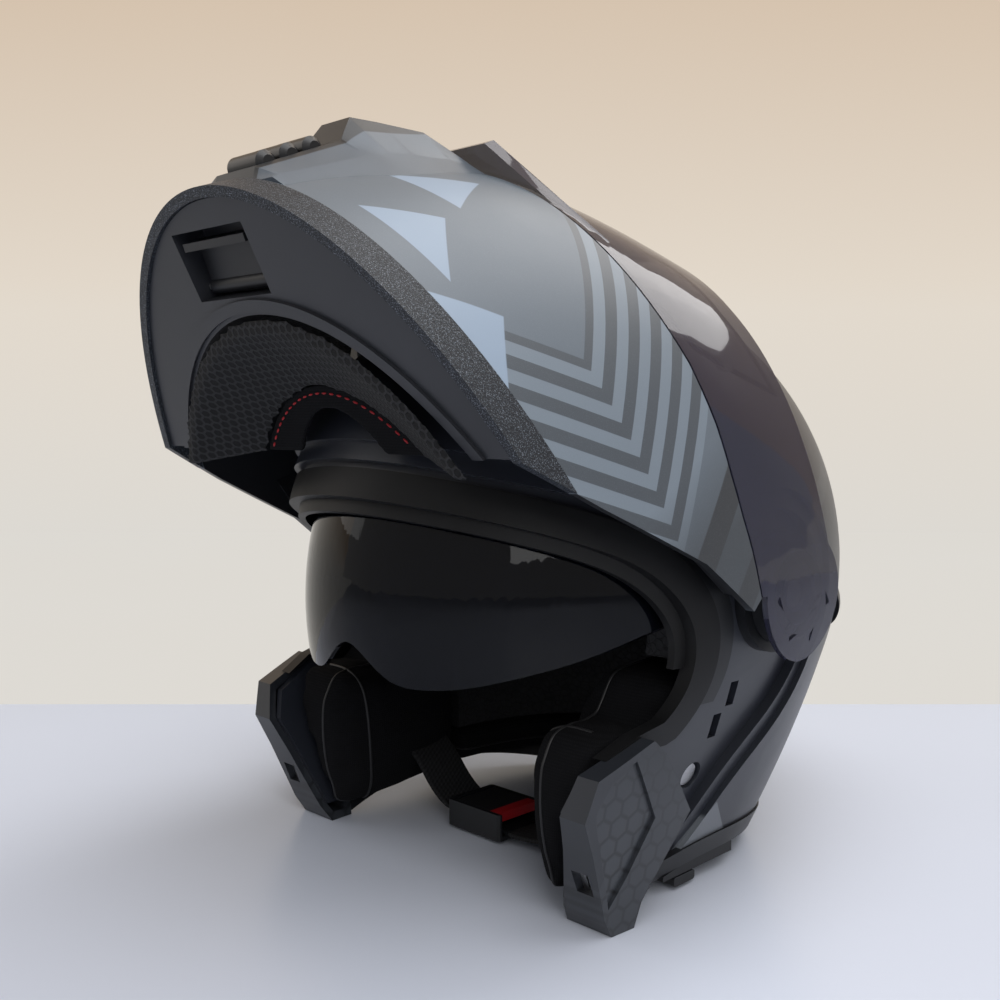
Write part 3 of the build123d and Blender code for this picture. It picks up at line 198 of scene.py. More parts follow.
class Finish:
    """A procedural material and the nodes it is made of."""

    def __init__(self, name: str) -> None:
        """Starts a material with a bare shader.

        Args:
            name: The material's name.
        """
        self.material = bpy.data.materials.new(name)
        self.material.use_nodes = True
        self.tree = self.material.node_tree
        self.shader = self.tree.nodes["Principled BSDF"]

    def node(self, kind: str, settings: Dict[str, Any], inputs: Dict[Any, Value], out: Any = 0) -> Sock:
        """Adds a node.

        Args:
            kind: The node's type.
            settings: Attributes set before its sockets; "stops" fills a colour ramp.
            inputs: Values or outputs for its sockets.
            out: Which output to return.

        Returns:
            The chosen output.
        """
        made = self.tree.nodes.new(kind)
        for key, value in settings.items():
            if key == "stops":
                ramp = made.color_ramp
                while len(ramp.elements) < len(value):
                    ramp.elements.new(0.5)
                for stop, (place, colour) in zip(ramp.elements, value):
                    stop.position = place
                    stop.color = (*colour, 1.0)
            else:
                setattr(made, key, value)
        for key, value in inputs.items():
            if isinstance(value, Sock):
                self.tree.links.new(value.out, made.inputs[key])
            else:
                made.inputs[key].default_value = value
        return Sock(self, made.outputs[out])

    def place(self) -> Sock:
        """Object coordinates, in metres."""
        return self.node("ShaderNodeTexCoord", {}, {}, "Object")

    def chart(self) -> Sock:
        """The piece's own UV map."""
        return self.node("ShaderNodeTexCoord", {}, {}, "UV")

    def turned(self, vector: Sock, angle: Sequence[float], move: Sequence[float] = (0, 0, 0),
               scale: Sequence[float] = (1, 1, 1)) -> Sock:
        """Coordinates scaled, then turned, then moved.

        Args:
            vector: The coordinates.
            angle: Turns about the axes, in radians.
            move: The shift, in metres.
            scale: Factors along the axes.

        Returns:
            The changed coordinates.
        """
        inputs = {"Vector": vector, "Rotation": angle, "Location": move, "Scale": scale}
        return self.node("ShaderNodeMapping", {}, inputs)

    def closed_place(self) -> Sock:
        """Object coordinates turned back to where the chin bar is closed."""
        turn = Matrix.Rotation(RAISE, 3, "X")
        return self.turned(self.place(), (RAISE, 0, 0), PIVOT - turn @ PIVOT)

    def axes(self, vector: Sock) -> Tuple[Sock, Sock, Sock]:
        """Takes a vector apart.

        Args:
            vector: The vector.

        Returns:
            Its X, Y and Z.
        """
        parts = self.tree.nodes.new("ShaderNodeSeparateXYZ")
        self.tree.links.new(vector.out, parts.inputs[0])
        return Sock(self, parts.outputs[0]), Sock(self, parts.outputs[1]), Sock(self, parts.outputs[2])

    def noise(self, vector: Sock, scale: float, detail: float = 2.0, rough: float = 0.5) -> Sock:
        """Soft noise from 0 to 1."""
        inputs = {"Vector": vector, "Scale": scale, "Detail": detail, "Roughness": rough}
        return self.node("ShaderNodeTexNoise", {}, inputs)

    def cells(self, vector: Sock, scale: float, feature: str = "F1") -> Sock:
        """Distance from cell centres, or from their edges."""
        return self.node("ShaderNodeTexVoronoi", {"feature": feature}, {"Vector": vector, "Scale": scale})

    def blend(self, share: Value, first: Union[Colour, Sock], second: Union[Colour, Sock]) -> Sock:
        """A colour between two, by a share."""
        ends = [tone if isinstance(tone, Sock) else (*tone, 1.0) for tone in (first, second)]
        return self.node("ShaderNodeMix", {"data_type": "RGBA"}, {0: share, 6: ends[0], 7: ends[1]}, 2)

    def polygon(self, across: Sock, up: Sock, corners: Sequence[Point], soft: float = LINE) -> Sock:
        """A mask that is 1 inside a convex outline.

        Args:
            across: The first coordinate.
            up: The second coordinate.
            corners: Corners in millimetres, anticlockwise.
            soft: The width of the outline's soft edge, in metres.

        Returns:
            The mask.
        """
        mask: Optional[Sock] = None
        for start, end in zip(corners, list(corners[1:]) + [corners[0]]):
            run, rise = end[0] - start[0], end[1] - start[1]
            length = math.hypot(run, rise)
            normal = (-rise / length, run / length)
            shift = (start[0] * normal[0] + start[1] * normal[1]) * MM
            inside = (across * normal[0] + up * normal[1]).above(shift, soft)
            mask = inside if mask is None else mask * inside
        return mask

    def hexagons(self, across: Sock, up: Sock, size: float) -> Sock:
        """A honeycomb over two coordinates.

        Args:
            across: The first coordinate.
            up: The second coordinate.
            size: Width of a cell in metres.

        Returns:
            Distance from the nearest cell's middle, 0 there and 0.5 at its edge.
        """
        tall = math.sqrt(3.0)
        reaches = []
        for shift in (0.0, 0.5):
            x = ((across / size + shift).cycle(1.0) - 0.5).fold()
            y = (((up / (size * tall) + shift).cycle(1.0) - 0.5) * tall).fold()
            reaches.append(x.largest(x * 0.5 + y * (tall / 2)))
        return reaches[0].smallest(reaches[1])

    def bump(self, height: Sock, strength: float, distance: float, under: Optional[Sock] = None) -> Sock:
        """A normal from a height.

        Args:
            height: The height, from 0 to 1.
            strength: How strongly it shows.
            distance: What a height of 1 is worth, in metres.
            under: A normal that this one adds to.

        Returns:
            The normal.
        """
        inputs: Dict[Any, Value] = {"Height": height, "Strength": strength, "Distance": distance}
        if under is not None:
            inputs["Normal"] = under
        return self.node("ShaderNodeBump", {}, inputs)

    def surface(self, **sockets: Value) -> bpy.types.Material:
        """Sets the shader's sockets.

        Args:
            **sockets: Values or outputs by socket name, with underscores for spaces.

        Returns:
            The finished material.
        """
        for key, value in sockets.items():
            target = self.shader.inputs[key.replace("_", " ")]
            if isinstance(value, Sock):
                self.tree.links.new(value.out, target)
            elif isinstance(value, tuple) and len(value) == 3 and len(target.default_value) == 4:
                target.default_value = (*value, 1.0)
            else:
                target.default_value = value
        return self.material


@dataclass(frozen=True)
class Plastic:
    """Moulded plastic with a fine grain and a little wear."""

    name: str
    colour: Colour
    roughness: float
    grain: float = 2600.0
    depth: float = 0.04 * MM
    coat: float = 0.0
    gloss: float = 0.4

    def make(self) -> bpy.types.Material:
        """Builds the material.

        Returns:
            The material.
        """
        f = Finish(self.name)
        place = f.place()
        cloud = f.noise(place, 35.0, 3.0)
        grain = f.noise(place, self.grain, 2.0, 0.6)
        lighter = tuple(min(1.0, c * 1.35 + 0.002) for c in self.colour)
        colour = f.blend(cloud.above(0.55, 0.5), self.colour, lighter)
        rough = cloud * 0.14 + (self.roughness - 0.07)
        return f.surface(Base_Color=colour, Roughness=rough, Normal=f.bump(grain, 0.5, self.depth),
                         Coat_Weight=self.coat, Coat_Roughness=0.12, Specular_IOR_Level=self.gloss)


@dataclass(frozen=True)
class SpeckledTrim:
    """Coarsely textured plastic whose raised grain catches the light, as pale glints painted into its colour.
    """

    name: str = "speckled_trim"
    base: Colour = (0.010, 0.012, 0.016)
    # tone of the pale flecks: painted glints where the raised grain catches the light
    fleck: Colour = (0.15, 0.17, 0.20)

    def make(self) -> bpy.types.Material:
        """Builds the material.

        Returns:
            The material.
        """
        f = Finish(self.name)
        place = f.place()
        pits = f.cells(place, 1100.0)
        fine = f.noise(place, 2400.0, 2.0, 0.7)
        height = pits * 0.6 + fine * 0.4
        # the pale flecks are painted glints, and the same mask makes them glossier
        painted_glint = fine.above(0.60, 0.08)
        colour = f.blend(painted_glint, self.base, self.fleck)
        return f.surface(Base_Color=colour, Roughness=0.50 - painted_glint * 0.2, Specular_IOR_Level=0.3,
                         Normal=f.bump(height, 0.8, 0.25 * MM))


@dataclass(frozen=True)
class ChinPaint:
    """Matte slate lacquer with slanted shards, chevrons and a charcoal fade to the hinge."""

    name: str = "chin_paint"
    slate: Colour = (0.110, 0.133, 0.158)
    groove: Colour = (0.058, 0.069, 0.082)
    pale: Colour = (0.165, 0.198, 0.232)
    mist: Colour = (0.255, 0.320, 0.405)
    charcoal: Colour = (0.026, 0.030, 0.036)
    inner: Colour = (0.010, 0.011, 0.013)
    sparkle: Colour = (0.4, 0.44, 0.5)
    chevron_middle: float = 62.0 * MM
    chevron_pitch: float = 12.5 * MM
    chevrons_from: float = -98.0 * MM
    chevrons_to: float = -26.0 * MM
    bar_pitch: float = 26.0 * MM
    bars_from: float = -12.0 * MM
    shell_centre: float = 27.5 * MM
    shards: Sequence[Sequence[Point]] = (((34, 60), (59, 66), (45, 92)), ((50, 30), (80, 33), (62, 55)),
                                         ((78, 17), (101, 25), (90, 42)))

    def make(self) -> bpy.types.Material:
        """Builds the material.

        Returns:
            The material.
        """
        f = Finish(self.name)
        where = f.closed_place()
        x, y, z = f.axes(where)
        chevron = y + (z - self.chevron_middle).fold() * 0.8
        stripes = chevron.cycle(self.chevron_pitch).above(0.5, 0.02)
        zone = chevron.above(self.chevrons_from, LINE) * chevron.below(self.chevrons_to, LINE)
        colour = f.blend(zone, self.slate, self.groove)
        colour = f.blend(zone * stripes, colour, self.pale)
        slant = y * 0.86 + z * 0.5
        bars = slant.cycle(self.bar_pitch).above(0.6, 0.02) * slant.above(self.bars_from, LINE)
        colour = f.blend(bars * chevron.above(self.chevrons_to + 2.0 * MM, LINE), colour, self.charcoal)
        side = x.fold()
        for corners in self.shards:
            colour = f.blend(f.polygon(side, z, corners) * y.below(-60.0 * MM, 1.0 * MM), colour, self.mist)
        fade = (y + z * 0.15).above(-22.0 * MM, 30.0 * MM)
        colour = f.blend(fade * 0.8, colour, self.charcoal)
        cloud = f.noise(where, 28.0, 3.0)
        fleck = f.noise(where, 3800.0, 1.0)
        colour = f.blend(fleck.above(0.64, 0.08) * 0.07, colour, self.sparkle)
        facing = f.turned(f.node("ShaderNodeTexCoord", {}, {}, "Normal"), (RAISE, 0, 0))
        across, ahead, _ = f.axes(facing)
        outside = (x * across + (y - self.shell_centre) * ahead).above(-10.0 * MM, 4.0 * MM)
        colour = f.blend(outside, self.inner, colour)
        return f.surface(Base_Color=colour, Roughness=0.38 + cloud * 0.12, Coat_Weight=0.1,
                         Coat_Roughness=0.3, Normal=f.bump(fleck, 0.2, 0.03 * MM))


@dataclass(frozen=True)
class ShellPaint:
    """Dark matte lacquer with pale triangles low on the sides."""

    name: str = "shell_paint"
    night: Colour = (0.016, 0.018, 0.025)
    dusk: Colour = (0.022, 0.025, 0.034)
    grey: Colour = (0.13, 0.14, 0.155)
    smoke: Colour = (0.036, 0.040, 0.048)
    facets: Sequence[Sequence[Point]] = (((-18, 8), (32, 8), (8, 36)), ((38, 10), (84, 10), (70, 46)),
                                         ((62, 60), (98, 22), (112, 70)))

    def make(self) -> bpy.types.Material:
        """Builds the material.

        Returns:
            The material.
        """
        f = Finish(self.name)
        where = f.place()
        _, y, z = f.axes(where)
        cloud = f.noise(where, 22.0, 3.0)
        fleck = f.noise(where, 3600.0, 1.0)
        colour = f.blend(cloud.above(0.5, 0.6) * 0.5, self.night, self.dusk)
        for corners, shade in zip(self.facets, (self.grey, self.smoke, self.smoke)):
            colour = f.blend(f.polygon(y, z, corners), colour, shade)
        slant = z * 0.9 - y * 0.45
        swoosh = slant.cycle(0.06).above(0.86, 0.02) * y.above(0.05, LINE) * z.above(0.14, 0.01)
        colour = f.blend(swoosh * 0.7, colour, self.smoke)
        return f.surface(Base_Color=colour, Roughness=0.34 + cloud * 0.12, Coat_Weight=0.12,
                         Coat_Roughness=0.3, Normal=f.bump(fleck, 0.2, 0.03 * MM))


@dataclass(frozen=True)
class JawPanel:
    """Charcoal plastic with a faint honeycomb on the sunken panel."""

    name: str = "jaw_panel"
    plain: Colour = (0.015, 0.017, 0.021)
    worn: Colour = (0.022, 0.024, 0.030)
    cell: Colour = (0.036, 0.040, 0.047)
    wall: Colour = (0.011, 0.012, 0.014)
    cell_width: float = 8.5 * MM
    outline: Sequence[Point] = ((-72, 52), (-68, 36), (-60, 12), (-54, 20), (-44, 46), (-54, 68), (-66, 62))

    def make(self) -> bpy.types.Material:
        """Builds the material.

        Returns:
            The material.
        """
        f = Finish(self.name)
        where = f.place()
        _, y, z = f.axes(where)
        cloud = f.noise(where, 40.0, 2.0)
        grain = f.noise(where, 2600.0, 2.0)
        line = f.hexagons(y, z, self.cell_width).above(0.42, 0.10)
        panel = f.polygon(y, z, self.outline, 2 * LINE)
        behind = (y + 62.0 * MM + (z - 40.0 * MM) * -0.2).above(0.0, 2 * LINE)
        shown = panel.largest(behind * 0.55)
        colour = f.blend(cloud.above(0.5, 0.5), self.plain, self.worn)
        lower = z.below(0.045, 0.05)
        cells = f.blend(line, self.cell, self.wall)
        colour = f.blend(shown * (0.25 + 0.75 * lower), colour, cells)
        height = grain * 0.12 + (1.0 - line * shown) * 0.5
        return f.surface(Base_Color=colour, Roughness=0.32 + cloud * 0.12, Coat_Weight=0.1,
                         Coat_Roughness=0.3, Normal=f.bump(height, 0.35, 0.2 * MM))


@dataclass(frozen=True)
class Knit:
    """Black knitted lining over foam."""

    name: str = "knit_lining"
    colour: Colour = (0.005, 0.005, 0.0055)
    pale: Colour = (0.017, 0.017, 0.0185)
    pitch: float = 1.1 * MM

    def make(self) -> bpy.types.Material:
        """Builds the material.

        Returns:
            The material.
        """
        f = Finish(self.name)
        x, y, z = f.axes(f.place())
        across = x + y * 0.7
        ribs = across.wave(self.pitch) * 0.5 + 0.5
        loops = (z + across.wave(self.pitch) * (self.pitch * 0.2)).wave(self.pitch * 1.2) * 0.5 + 0.5
        weave = ribs * loops
        cloud = f.noise(f.place(), 60.0, 3.0)
        fuzz = f.noise(f.place(), 5200.0, 2.0)
        colour = f.blend(weave * 0.6 + cloud * 0.35, self.colour, self.pale)
        return f.surface(Base_Color=colour, Roughness=0.95, Specular_IOR_Level=0.1,
                         Normal=f.bump(weave * 0.8 + fuzz * 0.3, 0.6, 0.3 * MM))


@dataclass(frozen=True)
class OpenMesh:
    """Coarse black mesh with rows of six-sided holes."""

    name: str = "open_mesh"
    pitch: float = 3.8 * MM
    thread: Colour = (0.012, 0.012, 0.013)
    worn_thread: Colour = (0.028, 0.028, 0.030)
    shade: Colour = (0.0015, 0.0015, 0.0018)

    def make(self) -> bpy.types.Material:
        """Builds the material.

        Returns:
            The material.
        """
        f = Finish(self.name)
        across, along, _ = f.axes(f.closed_place())
        hole = f.hexagons(across, along, self.pitch).below(0.36, 0.06)
        fuzz = f.noise(f.place(), 3800.0, 2.0)
        thread = f.blend(fuzz, self.thread, self.worn_thread)
        colour = f.blend(hole, thread, self.shade)
        return f.surface(Base_Color=colour, Roughness=0.7, Specular_IOR_Level=0.25,
                         Normal=f.bump((1.0 - hole) + fuzz * 0.12, 1.0, 1.2 * MM))


@dataclass(frozen=True)
class Webbing:
    """Woven strap with a ribbed face, on its own map of length and width."""

    name: str = "webbing"
    deep: Colour = (0.005, 0.005, 0.0055)
    raised: Colour = (0.024, 0.024, 0.026)
    twill_pitch: float = 2.0 * MM
    rib_pitch: float = 2.4 * MM

    def make(self) -> bpy.types.Material:
        """Builds the material.

        Returns:
            The material.
        """
        f = Finish(self.name)
        along, across, _ = f.axes(f.chart())
        twill = (along + across * 0.6).wave(self.twill_pitch) * 0.5 + 0.5
        rib = across.wave(self.rib_pitch) * 0.5 + 0.5
        cloud = f.noise(f.place(), 90.0, 2.0)
        colour = f.blend(twill * 0.5 + rib * 0.3 + cloud * 0.1, self.deep, self.raised)
        return f.surface(Base_Color=colour, Roughness=0.8, Specular_IOR_Level=0.3,
                         Normal=f.bump(twill * 0.6 + rib * 0.5, 0.8, 0.4 * MM))


@dataclass(frozen=True)
class BeadFoam:
    """Moulded black bead foam."""

    name: str = "bead_foam"
    joint: Colour = (0.003, 0.003, 0.0035)
    bead: Colour = (0.013, 0.013, 0.015)

    def make(self) -> bpy.types.Material:
        """Builds the material.

        Returns:
            The material.
        """
        f = Finish(self.name)
        edges = f.cells(f.place(), 320.0, "DISTANCE_TO_EDGE")
        beads = edges.above(0.06, 0.12)
        colour = f.blend(beads, self.joint, self.bead)
        return f.surface(Base_Color=colour, Roughness=0.75, Normal=f.bump(beads, 0.6, 0.4 * MM))


@dataclass(frozen=True)
class Steel:
    """Brushed zinc-plated steel."""

    name: str = "plated_steel"
    dull: Colour = (0.42, 0.42, 0.43)
    bright: Colour = (0.66, 0.66, 0.67)

    def make(self) -> bpy.types.Material:
        """Builds the material.

        Returns:
            The material.
        """
        f = Finish(self.name)
        brush = f.noise(f.turned(f.place(), (0, 0, 0), (0, 0, 0), (1, 1, 14)), 300.0, 3.0)
        return f.surface(Base_Color=f.blend(brush, self.dull, self.bright), Metallic=1.0,
                         Roughness=0.28 + brush * 0.2)


@dataclass(frozen=True)
class Lens:
    """Tinted glossy plastic that lets a little light through."""

    name: str
    tint: Colour
    edge: Colour
    alpha: float
    roughness: float = 0.03
    gloss: float = 0.5

    def make(self) -> bpy.types.Material:
        """Builds the material.

        Returns:
            The material.
        """
        f = Finish(self.name)
        place = f.place()
        haze = f.noise(place, 9.0, 2.0)
        dust = f.noise(place, 900.0, 1.0).above(0.82, 0.05)
        colour = f.blend(haze.above(0.5, 0.5), self.tint, self.edge)
        colour = f.blend(dust * 0.03, colour, (0.5, 0.5, 0.52))
        return f.surface(Base_Color=colour, Roughness=self.roughness + dust * 0.1, Alpha=self.alpha,
                         Specular_IOR_Level=self.gloss, Coat_Weight=0.15, Coat_Roughness=0.02)


@dataclass(frozen=True)
class Thread:
    """Sewing thread with a fine twist."""

    name: str
    colour: Colour

    def make(self) -> bpy.types.Material:
        """Builds the material.

        Returns:
            The material.
        """
        f = Finish(self.name)
        twist = f.noise(f.place(), 2600.0, 2.0)
        darker = tuple(c * 0.6 for c in self.colour)
        return f.surface(Base_Color=f.blend(twist, darker, self.colour), Roughness=0.7,
                         Normal=f.bump(twist, 0.4, 0.1 * MM))


@dataclass(frozen=True)
class VentPlastic:
    """Slate plastic with a dark crest along the middle."""

    name: str = "vent_plastic"
    slate: Colour = (0.082, 0.098, 0.118)
    pale_slate: Colour = (0.105, 0.126, 0.150)
    dark: Colour = (0.012, 0.013, 0.015)
    crest: float = 14.5 * MM

    def make(self) -> bpy.types.Material:
        """Builds the material.

        Returns:
            The material.
        """
        f = Finish(self.name)
        across, _, _ = f.axes(f.place())
        cloud = f.noise(f.place(), 35.0, 3.0)
        grain = f.noise(f.place(), 2200.0, 2.0, 0.6)
        slate = f.blend(cloud, self.slate, self.pale_slate)
        colour = f.blend(across.fold().below(self.crest, 0.4 * MM), slate, self.dark)
        return f.surface(Base_Color=colour, Roughness=0.34 + cloud * 0.12,
                         Normal=f.bump(grain, 0.5, 0.04 * MM))


@dataclass(frozen=True)
class SealBead:
    """Pale sealing bead whose upper run is dark."""

    name: str = "seal_bead"
    pale: Colour = (0.62, 0.63, 0.65)
    paler: Colour = (0.74, 0.75, 0.77)
    dark: Colour = (0.012, 0.012, 0.016)

    def make(self) -> bpy.types.Material:
        """Builds the material.

        Returns:
            The material.
        """
        f = Finish(self.name)
        _, back, _ = f.axes(f.place())
        cloud = f.noise(f.place(), 80.0, 2.0)
        pale = f.blend(cloud, self.pale, self.paler)
        colour = f.blend(back.above(0.5 * MM), pale, self.dark)
        return f.surface(Base_Color=colour, Roughness=0.4 + cloud * 0.1, Normal=f.bump(cloud, 0.2, 0.1 * MM))


@dataclass(frozen=True)
class TabbedPlastic:
    """Dark plastic whose end is a bright red tab."""

    name: str
    tab_from: float
    dark: Colour = (0.008, 0.008, 0.009)
    worn: Colour = (0.016, 0.016, 0.018)
    red: Colour = (0.38, 0.010, 0.014)

    def make(self) -> bpy.types.Material:
        """Builds the material.

        Returns:
            The material.
        """
        f = Finish(self.name)
        across, _, _ = f.axes(f.place())
        cloud = f.noise(f.place(), 60.0, 2.0)
        dark = f.blend(cloud, self.dark, self.worn)
        colour = f.blend(across.above(self.tab_from, LINE), dark, self.red)
        grain = f.noise(f.place(), 2400.0, 2.0)
        return f.surface(Base_Color=colour, Roughness=0.34 + cloud * 0.12,
                         Normal=f.bump(grain, 0.4, 0.04 * MM))


@dataclass
class Finishes:
    """Every finish of the helmet, built once."""

    tab_from: float
    made: Dict[Look, bpy.types.Material] = field(default_factory=dict)

    def build(self) -> "Finishes":
        """Builds the materials.

        Returns:
            Itself, filled.
        """
        recipes = {
            Look.SHELL: ShellPaint(),
            Look.CHIN: ChinPaint(),
            Look.TRIM: SpeckledTrim(),
            Look.JAW: JawPanel(),
            Look.DARK: Plastic("dark_plastic", (0.006, 0.0065, 0.008), 0.42),
            Look.BASE: Plastic("charcoal_plastic", (0.018, 0.019, 0.023), 0.44, grain=2200.0),
            Look.VENT: VentPlastic(),
            Look.RUBBER: Plastic("black_rubber", (0.004, 0.004, 0.0045), 0.5, grain=1500.0, gloss=0.25),
            Look.RIBS: Plastic("rib_rubber", (0.006, 0.006, 0.007), 0.34, grain=1500.0),
            Look.TAB: TabbedPlastic("buckle_plastic", self.tab_from),
            Look.STEEL: Steel(),
            Look.FOAM: BeadFoam(),
            Look.KNIT: Knit(),
            Look.PAD: Knit("pad_cloth", (0.0035, 0.0035, 0.004), (0.012, 0.012, 0.0135), pitch=0.9 * MM),
            Look.PIPING: Plastic("piping", (0.010, 0.010, 0.011), 0.5, grain=1800.0, depth=0.05 * MM),
            Look.MESH: OpenMesh(),
            Look.WEBBING: Webbing(),
            Look.VISOR: Lens("smoke_visor", (0.016, 0.017, 0.036), (0.024, 0.024, 0.050), alpha=0.74),
            Look.SUN: Lens("smoke_sun_visor", (0.0015, 0.0018, 0.003), (0.003, 0.0035, 0.006), alpha=0.92,
                           roughness=0.02, gloss=0.12),
            Look.INSERT: Lens("clear_insert", (0.10, 0.10, 0.12), (0.14, 0.14, 0.16), alpha=0.22,
                              roughness=0.05),
            Look.SEAL: SealBead(),
            Look.THREAD: Thread("red_thread", (0.50, 0.012, 0.018)),
            Look.TACK: Thread("pale_thread", (0.50, 0.50, 0.50)),
        }
        self.made = {look: recipe.make() for look, recipe in recipes.items()}
        return self

    def __getitem__(self, look: Look) -> bpy.types.Material:
        """The material of that look."""
        return self.made[look]


def mesh_object(name: str, shape: bmesh.types.BMesh, material: bpy.types.Material, angle: float = 35.0
                ) -> bpy.types.Object:
    """Makes an object of a bmesh, smooth except at sharp edges.

    Args:
        name: The object's name.
        shape: The mesh, which is freed.
        material: Its material.
        angle: Edges that turn by more degrees stay sharp.

    Returns:
        The linked object.
    """
    mesh = bpy.data.meshes.new(name)
    for edge in shape.edges:
        if len(edge.link_faces) == 2:
            edge.smooth = edge.calc_face_angle(0.0) < math.radians(angle)
    for face in shape.faces:
        face.smooth = True
    shape.to_mesh(mesh)
    shape.free()
    mesh.materials.append(material)
    made = bpy.data.objects.new(name, mesh)
    bpy.context.scene.collection.objects.link(made)
    return made


def node_copy(frame: Dict[str, Any], node: str) -> bmesh.types.BMesh:
    """Copies a CAD node's mesh and welds it.

    Args:
        node: The node's name.

    Returns:
        The welded copy.
    """
    shape = bmesh.new()
    shape.from_mesh(frame["nodes"][node].data)
    bmesh.ops.remove_doubles(shape, verts=shape.verts, dist=WELD)
    bmesh.ops.dissolve_degenerate(shape, edges=shape.edges, dist=SLIVER)
    return shape


def bake(piece: bpy.types.Object) -> None:
    """Makes a piece's modifiers part of its mesh.

    Args:
        piece: The piece, whose modifiers are removed.
    """
    ready = bpy.context.evaluated_depsgraph_get()
    baked = bpy.data.meshes.new_from_object(piece.evaluated_get(ready))
    for modifier in list(piece.modifiers):
        piece.modifiers.remove(modifier)
    piece.data = baked
    for face in piece.data.polygons:
        face.use_smooth = True


@dataclass
class Helmet:
    """What every sub-assembly needs: the frame and the finishes."""

    frame: Dict[str, Any]
    finishes: Finishes

    def smooth(self, node: str, look: Look, angle: float = 28.0) -> bpy.types.Object:
        """Stands a smooth-shaded copy in for a rigid CAD node.

        Args:
            node: The CAD node.
            look: The piece's finish.
            angle: Edges that turn by more degrees stay sharp.

        Returns:
            The piece, which rides on the node's body.
        """
        piece = mesh_object(f"{node}_finished", node_copy(self.frame, node), self.finishes[look], angle)
        weighted = piece.modifiers.new("even_shading", "WEIGHTED_NORMAL")
        weighted.keep_sharp = True
        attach(piece, self.frame["nodes"][node]["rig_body"])
        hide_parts(node)
        return piece

    def tube(self, name: str, runs: Sequence[Sequence[Vector]], radius: float, look: Look, body: str
             ) -> bpy.types.Object:
        """Lays a round bead, such as piping, along lines of points.

        Args:
            name: The bead's name.
            runs: The lines, each a list of points.
            radius: The bead's radius.
            look: The piece's finish.
            body: The body that it rides on.

        Returns:
            The bead.
        """
        line = bpy.data.curves.new(name, "CURVE")
        line.dimensions = "3D"
        line.bevel_depth = radius
        line.bevel_resolution = 3
        line.resolution_u = 4
        line.use_fill_caps = True
        for run in runs:
            spline = line.splines.new("NURBS")
            spline.points.add(len(run) - 1)
            for point, place in zip(spline.points, run):
                point.co = (*place, 1.0)
            spline.order_u = 3
            spline.use_endpoint_u = True
        holder = bpy.data.objects.new(f"{name}_line", line)
        bpy.context.scene.collection.objects.link(holder)
        ready = bpy.context.evaluated_depsgraph_get()
        mesh = bpy.data.meshes.new_from_object(holder.evaluated_get(ready))
        bpy.data.objects.remove(holder)
        shape = bmesh.new()
        shape.from_mesh(mesh)
        piece = mesh_object(name, shape, self.finishes[look], 60.0)
        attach(piece, body)
        return piece


@dataclass
class Hardware(Helmet):
    """Rigid pieces that keep their CAD shape."""

    look_of: Dict[str, Look] = field(default_factory=lambda: {
        "outer_shell": Look.SHELL, "chin_shell": Look.CHIN, "rear_spoiler": Look.DARK,
        "base_trim": Look.DARK, "jaw_cover_left": Look.JAW, "jaw_cover_right": Look.JAW,
        "brow_gasket": Look.RUBBER, "face_moulding_left": Look.DARK, "face_moulding_right": Look.DARK,
        "hinge_base_left": Look.DARK, "hinge_base_right": Look.DARK, "hinge_screws": Look.STEEL,
        "top_vent_base": Look.DARK, "top_vent_slider": Look.DARK, "sun_visor_pins": Look.STEEL,
        "strap_anchors": Look.STEEL, "eps_liner": Look.FOAM, "chin_foam": Look.FOAM,
        "buckle_body": Look.DARK, "buckle_tongue": Look.DARK, "buckle_lever": Look.TAB,
        "lever_guide": Look.DARK, "sun_visor_lever": Look.DARK, "latch_plate_left": Look.STEEL,
        "latch_plate_right": Look.STEEL, "chin_trim": Look.TRIM, "chin_base": Look.BASE,
        "chin_vent_cover": Look.VENT, "chin_vent_ribs": Look.RIBS, "release_lever": Look.DARK,
        "release_pin": Look.STEEL, "latch_hook_left": Look.STEEL, "latch_hook_right": Look.STEEL,
        "chin_arm_left": Look.DARK, "chin_arm_right": Look.DARK, "visor_lens": Look.VISOR,
        "antifog_insert": Look.INSERT, "insert_seal": Look.SEAL, "insert_pins": Look.INSERT,
        "visor_hub_left": Look.DARK, "visor_hub_right": Look.DARK, "sun_visor": Look.SUN,
    })

    def build(self) -> None:
        """Dresses each rigid node."""
        for node, look in self.look_of.items():
            self.smooth(node, look)
            log.info("dressed %s in %s", node, look.value)


